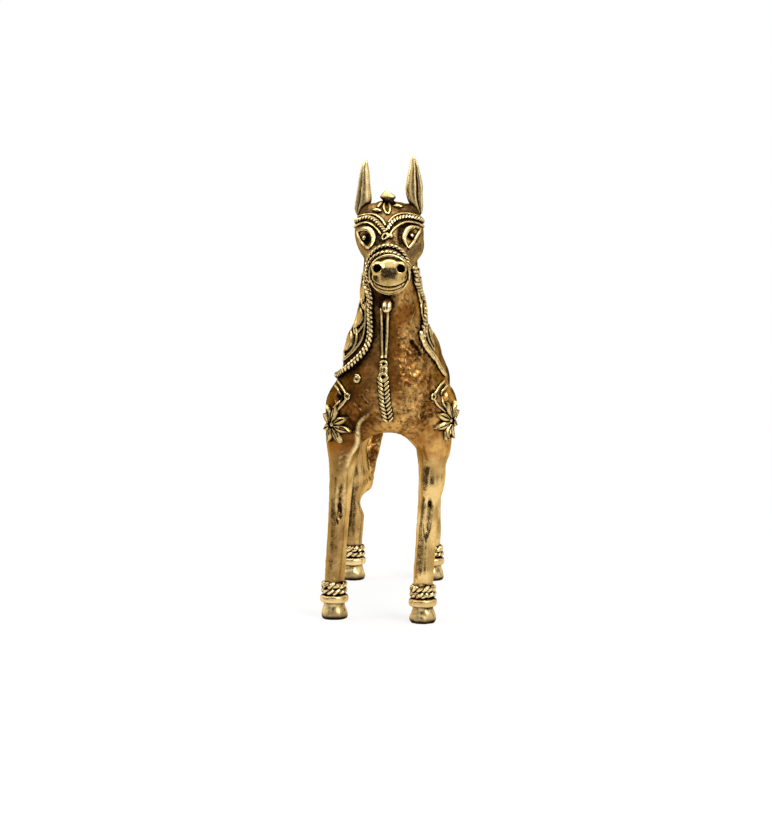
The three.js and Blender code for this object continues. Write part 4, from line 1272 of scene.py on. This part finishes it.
def hoop(set_back, lean):
    """A line round the head behind the nose, leaning back at the top."""
    hits = []
    for angle in np.radians(np.linspace(*HOOP_SPAN, HOOP_STEPS)):
        out = head_axes[0] * math.cos(angle) + head_axes[1] * math.sin(angle)
        centre = nose_root - (set_back + lean * math.sin(angle)) * head_axes[2]
        hits.append(skin.under(centre + HOOP_RADIUS * out, out, HOOP_REACH))
    return settled(hits)


for name, (set_back, lean) in NOSEBANDS.items():
    add_piece(name, rope(hoop(set_back, lean), ROPE, LAY), "brass_worn")


def ball_field(x, y, z, place, radius):
    return np.sqrt((x - place[0]) ** 2 + (y - place[1]) ** 2 + (z - place[2]) ** 2) - radius


def snout():
    """Upper and lower halves of the snout, as meshes."""
    field = Field(*SNOUT_BOX, SNOUT_VOXEL)
    x, y, z = field.axes()
    power = SNOUT_POWER
    drooped = y + SNOUT_DROOP * np.maximum(z, 0) / SNOUT_LENGTH
    round_off = (x**2 + drooped**2) ** (power / 2) / SNOUT_RADIUS**power
    round_off = round_off + np.maximum(z, 0) ** power / SNOUT_LENGTH**power
    dome = np.maximum((round_off ** (1 / power) - 1) * SNOUT_LENGTH, -z - SNOUT_ROOT)
    set_in, wider, fillet = NOSTRIL_SWELL
    for side in SIDES.values():
        spot = np.array([side * NOSTRIL_SPOT[0], NOSTRIL_SPOT[1], SNOUT_LENGTH * NOSTRIL_OUT])
        swell = ball_field(x, y, z, spot - [0, 0, set_in], NOSTRIL_RADIUS + wider)
        dome = smooth_union(dome, swell, fillet)
        inner = ball_field(x, y, z, spot - [0, 0, NOSTRIL_DEPTH], NOSTRIL_RADIUS)
        dome = np.maximum(dome, -np.minimum(inner, ball_field(x, y, z, spot, NOSTRIL_RADIUS)))
    lip = MOUTH_SMILE * x**2 - MOUTH_DROP
    drop, half_width, deep = LIP_CREASE
    lower_crease = np.maximum(np.abs(y - lip + drop) - half_width, -(dome + deep))
    upper = np.maximum(dome, lip + MOUTH_GAPE / 2 - y)
    lower = np.maximum(np.maximum(dome + LIP_SET_BACK, y - lip + MOUTH_GAPE / 2), -lower_crease)
    return [field.surface(half + 0 * x * y * z) for half in (upper, lower)]


snout_axes = nose_axes(SNOUT_PITCH)
snout_root = nose_root + SNOUT_SHIFT


def on_nose(mesh):
    corners, faces = mesh
    return snout_root + corners @ snout_axes, [tuple(face) for face in faces]


for name, half in zip(("muzzle", "lower_jaw"), snout()):
    corners, faces = on_nose(half)
    smooth = normals_of(corners, np.array(faces))
    add_piece(name, (corners, faces), "brass_polished", normals=smooth)


def nose_arc(radius, depth, first, last):
    turn = np.radians(np.linspace(first, last, HOOP_STEPS))
    flat = spokes(turn)
    return (snout_root + (radius * flat + [0, 0, depth]) @ snout_axes, flat @ snout_axes)


for name, (off, along, first, last) in NOSE_THREADS.items():
    add_piece(name, sweep(nose_arc(SNOUT_RADIUS + off, along, first, last), NOSE_THREAD), "brass_polished")

# Ears: leaves folded along a groove, drawn by their edges in the photograph

# Height, left edge and right edge in pixels, from the root to the tip
EAR_ROWS = {
    "right": [
        (214, 356, 362), (209, 354.5, 367), (203, 355, 371), (196, 356, 371.5), (190, 357, 371),
        (178, 359, 370), (168, 361, 368.8), (162.5, 363, 368), (160.4, 364.2, 367.2),
    ],
    "left": [
        (213, 416, 422.5), (207, 411.5, 423), (200, 407.5, 422.8), (193, 405.8, 422.8), (186, 405.8, 423),
        (176, 407.5, 421), (166, 409.5, 418.5), (158.5, 411, 416), (156.2, 412, 415),
    ],
}
EAR_ROW_STEP = 2.2
EAR_SIDES = 52
EAR_ROUNDING = 0.7
EAR_ROOT = 1.0
EAR_TIP = 0.25
GROOVE_BREADTH = 0.24
EAR_DEPTH = 3.4
# Angle in degrees, and depth in shares of the ear
EAR_GROOVES = {"right": (-130, 0.5), "left": (-58, 0.75)}


def ear(side):
    low, high = box_of(f"ear_{side}")
    y = (low[1] + high[1]) / 2
    rows = smooth_line(EAR_ROWS[side], EAR_ROW_STEP)
    turn = angles_round(EAR_SIDES)
    angle, depth = EAR_GROOVES[side]
    away = (turn - math.radians(angle) + np.pi) % (2 * np.pi) - np.pi
    widest = max(last - first for _, first, last in rows)
    rings = []
    for height, first, last in rows:
        a, b = at_depth((first, height), y), at_depth((last, height), y)
        share = (last - first) / widest
        radius = 1 - depth * share * np.exp(-((away / GROOVE_BREADTH) ** 2))
        across = (b - a) / 2 * radius[:, None] * np.cos(turn)[:, None]
        deep = EAR_DEPTH / 2 * share**EAR_ROUNDING * (radius * np.sin(turn))[:, None]
        rings.append((a + b) / 2 + across + deep * [0.0, 1.0, 0.0])
    rings = np.array(rings)
    root, top = rings[0].mean(axis=0), rings[-1].mean(axis=0)
    tips = np.array([root - [0, 0, EAR_ROOT], top + [0, 0, EAR_TIP]])
    return skinned(rings[:, ::-1], tips=tips)


for side in SIDES:
    add_piece(f"ear_{side}", roughened(ear(side), *FINE_ROUGH), "brass_rubbed")

# Neck: leaf plates and rope reins on both sides, and a braided mane

# Length and width
PLATE = (11.8, 8.0)
PLATE_ROWS = 3
PLATE_INNER = 0.64
PLATE_FORWARD = 1.6
PLATE_DOWN = np.array([0.0, -0.15, -1.0])
PLATE_DROP = 0.55
PLATE_THICK = 1.1
PLATE_WIRE = 0.95
REIN_PIXELS = {
    "right": [
        (367.5, 284), (370.5, 295), (371.3, 304), (371.5, 315), (371.6, 326), (370.8, 337), (367.5, 347),
        (361, 356), (352, 364.5), (345, 370),
    ],
    "left": [(414.5, 282), (418.5, 292), (421.5, 303), (422.8, 316), (422, 328), (421.5, 335)],
}
REIN_EDGE = [(366.4, 302), (366.4, 318), (364.5, 334), (360, 344), (353, 352.5), (345, 359.5), (338.5, 365)]
BAND_PIXELS = [(420.5, 333), (423, 343), (429, 352), (434.5, 358.5)]
REIN_START = [(-1.8, 0.0, 3.0), (-4.5, 0.0, 5.5)]
REIN_RUN = {
    "right": [(-2.0, 3.5, -1.8), (-2.8, 8.0, -2.4)],
    "left": [(1.6, 1.0, -2.2), (3.0, 3.0, -4.5), (3.6, 7.0, -5.5)],
}
REIN_ROPE = 2.1
REIN_BAND = (2.5, 1.7)
REIN_BAND_LIFT = 0.4
REIN_EDGE_THREAD = 0.85
KNOT = (3.0, 3.0, 2.6)
CREST_STOPS = (0.02, 0.35, 0.7, 0.97)
# Width and step
CREST_BRAID = (4.4, 1.7)


def neck_plate(name):
    """A rimmed leaf inside a wire of the same outline."""
    length, width = PLATE
    low, high = box_of(name)
    middle = skin.nearest((low + high) / 2 - [0, PLATE_FORWARD, 0])
    base = skin.nearest(middle[:3] - PLATE_DOWN * length / 2)[:3]
    inset = base + PLATE_DOWN * length * (1 - PLATE_INNER) * PLATE_DROP
    at_base, at_inset = (np.concatenate([place, middle[3:]]) for place in (base, inset))
    inner = leaf(at_inset, PLATE_DOWN, length * PLATE_INNER, width * PLATE_INNER, PLATE_THICK, split=False)
    return merged(inner, thread(leaf_edge(at_base, PLATE_DOWN, *PLATE), PLATE_WIRE, loop=True))


for side in SIDES:
    for row in range(1, PLATE_ROWS + 1):
        name = f"neck_plate_{side}_{row}"
        add_piece(name, neck_plate(name), "brass_worn")


def knotted(line):
    """A bead on the end of a line."""
    places, outs = line
    return lobe(places[-1], np.cross(outs[-1], UPWARD), outs[-1], *KNOT)


line = drawn(REIN_PIXELS["right"], before=sided(REIN_START, "right"), after=REIN_RUN["right"])
edge = thread(drawn(REIN_EDGE), REIN_EDGE_THREAD)
add_piece("rein_right", merged(rope(line, REIN_ROPE, WIDE_LAY), knotted(line), edge), "brass_worn")
rein = rope(drawn(REIN_PIXELS["left"], before=REIN_START), REIN_ROPE, WIDE_LAY)
line = drawn(BAND_PIXELS, after=REIN_RUN["left"])
band = sweep(line, *REIN_BAND, lift=REIN_BAND_LIFT)
add_piece("rein_left", merged(rein, band, knotted(line)), "brass_worn")

crest_low, crest_high = box_of("mane_crest")
crest_rise = (crest_high - crest_low) * [0, -1, 1]
crest_foot = np.array([MIDDLE, crest_high[1], crest_low[2]])
crest_line = [crest_foot + u * crest_rise for u in CREST_STOPS]
add_piece("mane_crest", braid(traced(crest_line), *CREST_BRAID), "brass_worn")

# Chest: a drop, a grooved strap, a ring and a braid down the front, and a scroll beside them

DROP_PIXEL = (387.6, 306.5)
DROP = (5.2, 3.7, 3.2)
DROP_LIFT = 0.5
DROP_WAY = (-0.15, 0.0, 1.0)
STRAP_THREADS = [[(381.8, 309), (381.6, 335), (382, 358.5)], [(387.8, 311), (387.5, 335), (386.2, 358.5)]]
STRAP_THREAD = 1.0
# Pixel, radius and thickness of the wire
CHEST_RING = ((383.8, 364), 1.0, 0.9)
BRAID_KNOT = ((383.2, 377), 1.15, 1.1)
LINK_PIXELS = [(383.7, 367.5), (383.5, 371), (383.4, 374)]
LINK = (2.6, 1.0)
BRAID_PIXELS = [(383.4, 380), (384.2, 392), (385.5, 404), (388.2, 419.5)]
BRAID = (3.8, 1.4)
SCROLL_PIXEL = (357.2, 379)
SCROLL_WAY = (-0.6, 0.0, 1.0)
SCROLL_STEPS = 40
SCROLL_TURNS = 1.3
SCROLL_RADIUS = 1.35
SCROLL_INWARD = 0.6
SCROLL_WIRE = 0.9


def scroll(hit):
    """A line on the skin curled in on itself."""
    along, across, out = flat_frame(hit, SCROLL_WAY)
    spots = []
    for t in np.linspace(0, 1, SCROLL_STEPS):
        reach, turn = SCROLL_RADIUS * (1 - SCROLL_INWARD * t), 2 * np.pi * SCROLL_TURNS * t
        spots.append(hit[:3] + reach * (along * math.cos(turn) + across * math.sin(turn)))
    return laid(spots, out)


add_piece("chest_drop", bead(skin.seen(DROP_PIXEL), DROP_LIFT, DROP, DROP_WAY), "brass_polished")
strap = [thread(drawn(pixels), STRAP_THREAD) for pixels in STRAP_THREADS]
add_piece("chest_strap", merged(*strap), "brass_worn")
add_piece("chest_ring", ring(*CHEST_RING), "brass_polished")
link = sweep(drawn(LINK_PIXELS), *LINK)
plait = braid(drawn(BRAID_PIXELS), *BRAID)
add_piece("chest_braid", merged(link, ring(*BRAID_KNOT), plait), "brass_worn")
add_piece("chest_scroll", thread(scroll(skin.seen(SCROLL_PIXEL)), SCROLL_WIRE), "brass_polished")

# Shoulders: wire chevrons with a ring at the point, and eight-leaved rosettes

CHEVRON_PIXELS = [
    [(338.5, 381), (342, 386), (346.5, 393.5)], [(346.5, 399.5), (343, 404.5), (336, 412)],
    [(336, 386), (339, 390), (343, 396)], [(343, 398), (340, 402.5), (334.5, 408)],
]
CHEVRON_WIRE = 0.85
EYELET_PIXEL = (347.7, 396.5)
EYELET = (0.9, 0.8)
PETALS = 8
PETAL_START = 1.1
BOSS = (2.0, 2.0, 1.8)
# Length, width and thickness
PETAL = (5.6, 2.4, 1.6)
ROSETTE_PIXELS = {"right": (333.5, 424), "left": (449, 420)}


def rosette(centre):
    """Petals round a boss."""
    along, across, out = flat_frame(centre)
    made = [bead(centre, BEAD_LIFT, BOSS)]
    for turn in angles_round(PETALS) + np.pi / PETALS:
        way = along * math.cos(turn) + across * math.sin(turn)
        base = skin.under(centre[:3] + way * PETAL_START, out)
        made.append(leaf(np.concatenate([base[:3], out]), way, *PETAL, split=True))
    return merged(*made)


chevron = {"right": [np.array([skin.seen(pixel)[:3] for pixel in wire]) for wire in CHEVRON_PIXELS]}
chevron["left"] = [mirrored(wire) for wire in chevron["right"]]
eyelet = {"right": skin.seen(EYELET_PIXEL)}
eyelet["left"] = skin.nearest(mirrored(eyelet["right"][:3]))
for side in SIDES:
    wires = [thread(traced(wire), CHEVRON_WIRE) for wire in chevron[side]]
    radius, wire = EYELET
    wires.append(thread(circle(eyelet[side], radius), wire, loop=True))
    add_piece(f"shoulder_chevron_{side}", merged(*wires), "brass_worn")
    add_piece(f"shoulder_rosette_{side}", rosette(skin.seen(ROSETTE_PIXELS[side])), "brass_polished")

# Back: a saddle pad of close-laid threads with a rope round it

PAD_THREADS = 17
PAD_THICK = 1.2
PAD_SINK = 0.4
PAD_ROWS = 30
PAD_COLUMNS = PAD_THREADS * 8
PAD_ROUNDING = 0.7
# Degrees to either side of the mid-line of the back
PAD_SPREAD = 44.0
EDGE_SPREAD = 48.0
EDGE_GAP = 1.2
EDGE_STOPS = 48
EDGE_SQUARE = 8
BACK_RADIUS = 16
BACK_REACH = 8.0
pad_low, pad_high = box_of("saddle_pad")
barrel_axis = sum(box_of("barrel"))[2] / 2


def on_back(y, angle):
    """The skin at a place along the back and an angle from its mid-line, in degrees."""
    turn = math.radians(angle)
    out = np.array([math.sin(turn), 0.0, math.cos(turn)])
    return skin.under(np.array([MIDDLE, y, barrel_axis]) + BACK_RADIUS * out, out, BACK_REACH)


def saddle_pad():
    top, bottom = [], []
    for y in np.linspace(pad_low[1], pad_high[1], PAD_ROWS):
        for k in range(PAD_COLUMNS + 1):
            hit = on_back(y, PAD_SPREAD * (2 * k / PAD_COLUMNS - 1))
            rib = abs(math.sin(math.pi * PAD_THREADS * k / PAD_COLUMNS)) ** PAD_ROUNDING
            top.append(hit[:3] + hit[3:] * PAD_THICK / 2 * (1 + rib))
            bottom.append(hit[:3] - hit[3:] * PAD_SINK)
    return slab(top, bottom, PAD_ROWS)


def saddle_edge():
    """A closed line round the saddle pad, square with round corners."""
    middle, half = (pad_low[1] + pad_high[1]) / 2, (pad_high[1] - pad_low[1]) / 2 + EDGE_GAP
    stops = []
    for turn in angles_round(EDGE_STOPS):
        wide = squared(turn, EDGE_SQUARE)
        y, angle = middle + half * wide * math.cos(turn), EDGE_SPREAD * wide * math.sin(turn)
        stops.append(on_back(y, angle)[:3])
    return traced(stops, loop=True)


add_piece("saddle_pad", saddle_pad(), "brass_worn", crease=80)
add_piece("saddle_rope", rope(saddle_edge(), REIN_ROPE, WIDE_LAY, loop=True), "brass_worn")

# Feet: hooves, plain rings and pairs of rope rings

HOOF_PROFILE = [(0.0, 0.88), (0.07, 0.95), (0.22, 1.0), (0.42, 0.97), (0.62, 0.89), (0.8, 0.8), (1.0, 0.77)]
HOOF_ROUGH = (0.3, 2.2)
RING_PROFILE = [(-0.3, 0.76), (-0.15, 0.91), (0.1, 0.99), (0.4, 1.0), (0.7, 0.98), (0.88, 0.9), (1.0, 0.78)]
PROFILE_STEP = 0.06
TURNED_SIDES = 40
WOUND_ROWS = 2
WOUND_STEPS = 120
WOUND_LAY = 3.375
WOUND_PLUMP = 0.68
WOUND_ROUGH = (0.34, 1.7)


def turned(node, profile):
    """A round piece in the place of a CAD node, from shares of its height and radius."""
    low, high = box_of(node)
    x, y, _ = (low + high) / 2
    radius, height = (high[0] - low[0]) / 2, high[2] - low[2]
    flat = spokes(angles_round(TURNED_SIDES))
    rows = smooth_line(profile, PROFILE_STEP)
    rings = [[x, y, low[2] + rise * height] + radius * reach * flat for rise, reach in rows]
    return skinned(np.array(rings)[:, ::-1], tips=np.array([[x, y, low[2]], [x, y, high[2]]]))


def rope_rings(node):
    low, high = box_of(node)
    x, y, _ = (low + high) / 2
    width = (high[2] - low[2]) / WOUND_ROWS
    radius = (high[0] - low[0]) / 2 - width / 2
    outs = spokes(angles_round(WOUND_STEPS))
    made = []
    for row in range(WOUND_ROWS):
        line = ([x, y, low[2] + width * (row + 0.5)] + radius * outs, outs)
        made.append(rope(line, width, WOUND_LAY, lift=0, plump=WOUND_PLUMP, loop=True))
    return merged(*made)


for end in ENDS:
    for side in SIDES:
        foot = f"{end}_hoof_{side}"
        add_piece(foot, roughened(turned(foot, HOOF_PROFILE), *HOOF_ROUGH), "brass_rubbed", crease=70)
        plain = f"{end}_plain_anklet_{side}"
        add_piece(plain, roughened(turned(plain, RING_PROFILE), *FINE_ROUGH), "brass_rubbed", crease=80)
        wound = f"{end}_rope_anklet_{side}"
        add_piece(wound, roughened(rope_rings(wound), *WOUND_ROUGH), "brass_polished")

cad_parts["clay_core"].data.materials.clear()
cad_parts["clay_core"].data.materials.append(FINISHES["clay"])

# Studio: a white floor and sky, soft lights, and dark cards that only the metal sees

WHITE = (1, 1, 1, 1)
PAPER = (0.9, 0.9, 0.9, 1)
CARD_DARK = (0.02, 0.02, 0.02, 1)
FLOOR_SIZE = 6.0
# Distances in metres between which the floor goes from a little shaded to pure white
FLOOR_FADE = (0.12, 0.5, 0.8, 1.0)
SKY_LIGHT = 0.55
LIGHT_TARGET = (0, 0, 0.08)
# Place and size in metres, and power
LIGHTS = {
    "key_light": ((0.55, -0.65, 0.75), (0.5, 0.5), 7.0),
    "fill_light": ((-0.85, -0.1, 0.5), (0.35, 0.7), 3.0),
    "top_light": ((0.0, 0.1, 1.0), (0.7, 0.7), 5.0),
}
# Azimuth in degrees, distance, width and height in metres
CARDS = {
    "front": (-3, 0.45, 0.37, 0.39),
    "left": (58, 0.45, 0.08, 0.32),
    "far_left": (100, 0.45, 0.19, 0.32),
    "back": (180, 0.45, 0.55, 0.32),
    "right": (294, 0.24, 0.27, 0.2),
}


def add_board(name, corners, material):
    """A flat thing with four corners."""
    data = bpy.data.meshes.new(name)
    data.from_pydata(corners, [], [(0, 1, 2, 3)])
    data.materials.append(material)
    made = bpy.data.objects.new(name, data)
    bpy.context.scene.collection.objects.link(made)
    return made


def add_floor():
    material, nodes = new_material("floor_white")
    paper = nodes.add("ShaderNodeBsdfDiffuse", {"Color": PAPER}).outputs["BSDF"]
    white = nodes.add("ShaderNodeEmission", {"Color": WHITE, "Strength": 1.0}).outputs["Emission"]
    where = nodes.add("ShaderNodeNewGeometry").outputs["Position"]
    away = nodes.add("ShaderNodeVectorMath", {"Vector": where}, operation="LENGTH").outputs["Value"]
    seen = nodes.math("MULTIPLY", nodes.seen_directly(), nodes.ramp(away, *FLOOR_FADE))
    nodes.add("ShaderNodeOutputMaterial", {"Surface": nodes.blend(seen, paper, white)})
    s = FLOOR_SIZE
    floor = add_board("floor", [(-s, -s, 0), (s, -s, 0), (s, s, 0), (-s, s, 0)], material)


def add_sky():
    world = bpy.data.worlds.new("studio")
    world.use_nodes = True
    nodes = Nodes(world.node_tree)
    skies = []
    for strength in (SKY_LIGHT, 1.0):
        made = nodes.add("ShaderNodeBackground", {"Color": WHITE, "Strength": strength})
        skies.append(made.outputs["Background"])
    nodes.add("ShaderNodeOutputWorld", {"Surface": nodes.blend(nodes.seen_directly(), *skies)})
    bpy.context.scene.world = world


def add_softbox(name, place, size, power):
    data = bpy.data.lights.new(name, "AREA")
    data.shape = "RECTANGLE"
    data.size, data.size_y = size
    data.energy = power
    lamp = bpy.data.objects.new(name, data)
    lamp.visible_camera = False
    lamp.location = place
    lamp.rotation_mode = "QUATERNION"
    lamp.rotation_quaternion = (Vector(LIGHT_TARGET) - Vector(place)).to_track_quat("-Z", "Y")
    bpy.context.scene.collection.objects.link(lamp)


def add_card(name, azimuth, distance, width, height):
    """A dark card that stands at an azimuth and shows only in reflections."""
    material, nodes = new_material(name)
    nodes.finish({"Base Color": CARD_DARK, "Roughness": 1.0})
    half = width / 2
    corners = [(-half, 0, 0), (half, 0, 0), (half, 0, height), (-half, 0, height)]
    card = add_board(name, corners, material)
    turn = math.radians(azimuth)
    card.location = (distance * math.sin(turn), -distance * math.cos(turn), 0)
    card.rotation_euler = (0, 0, turn)
    card.visible_camera = False
    card.visible_diffuse = False
    card.visible_shadow = False


add_floor()
add_sky()
for name, light in LIGHTS.items():
    add_softbox(name, *light)
for name, card in CARDS.items():
    add_card(f"{name}_card", *card)

bpy.context.scene.view_settings.view_transform = "Standard"
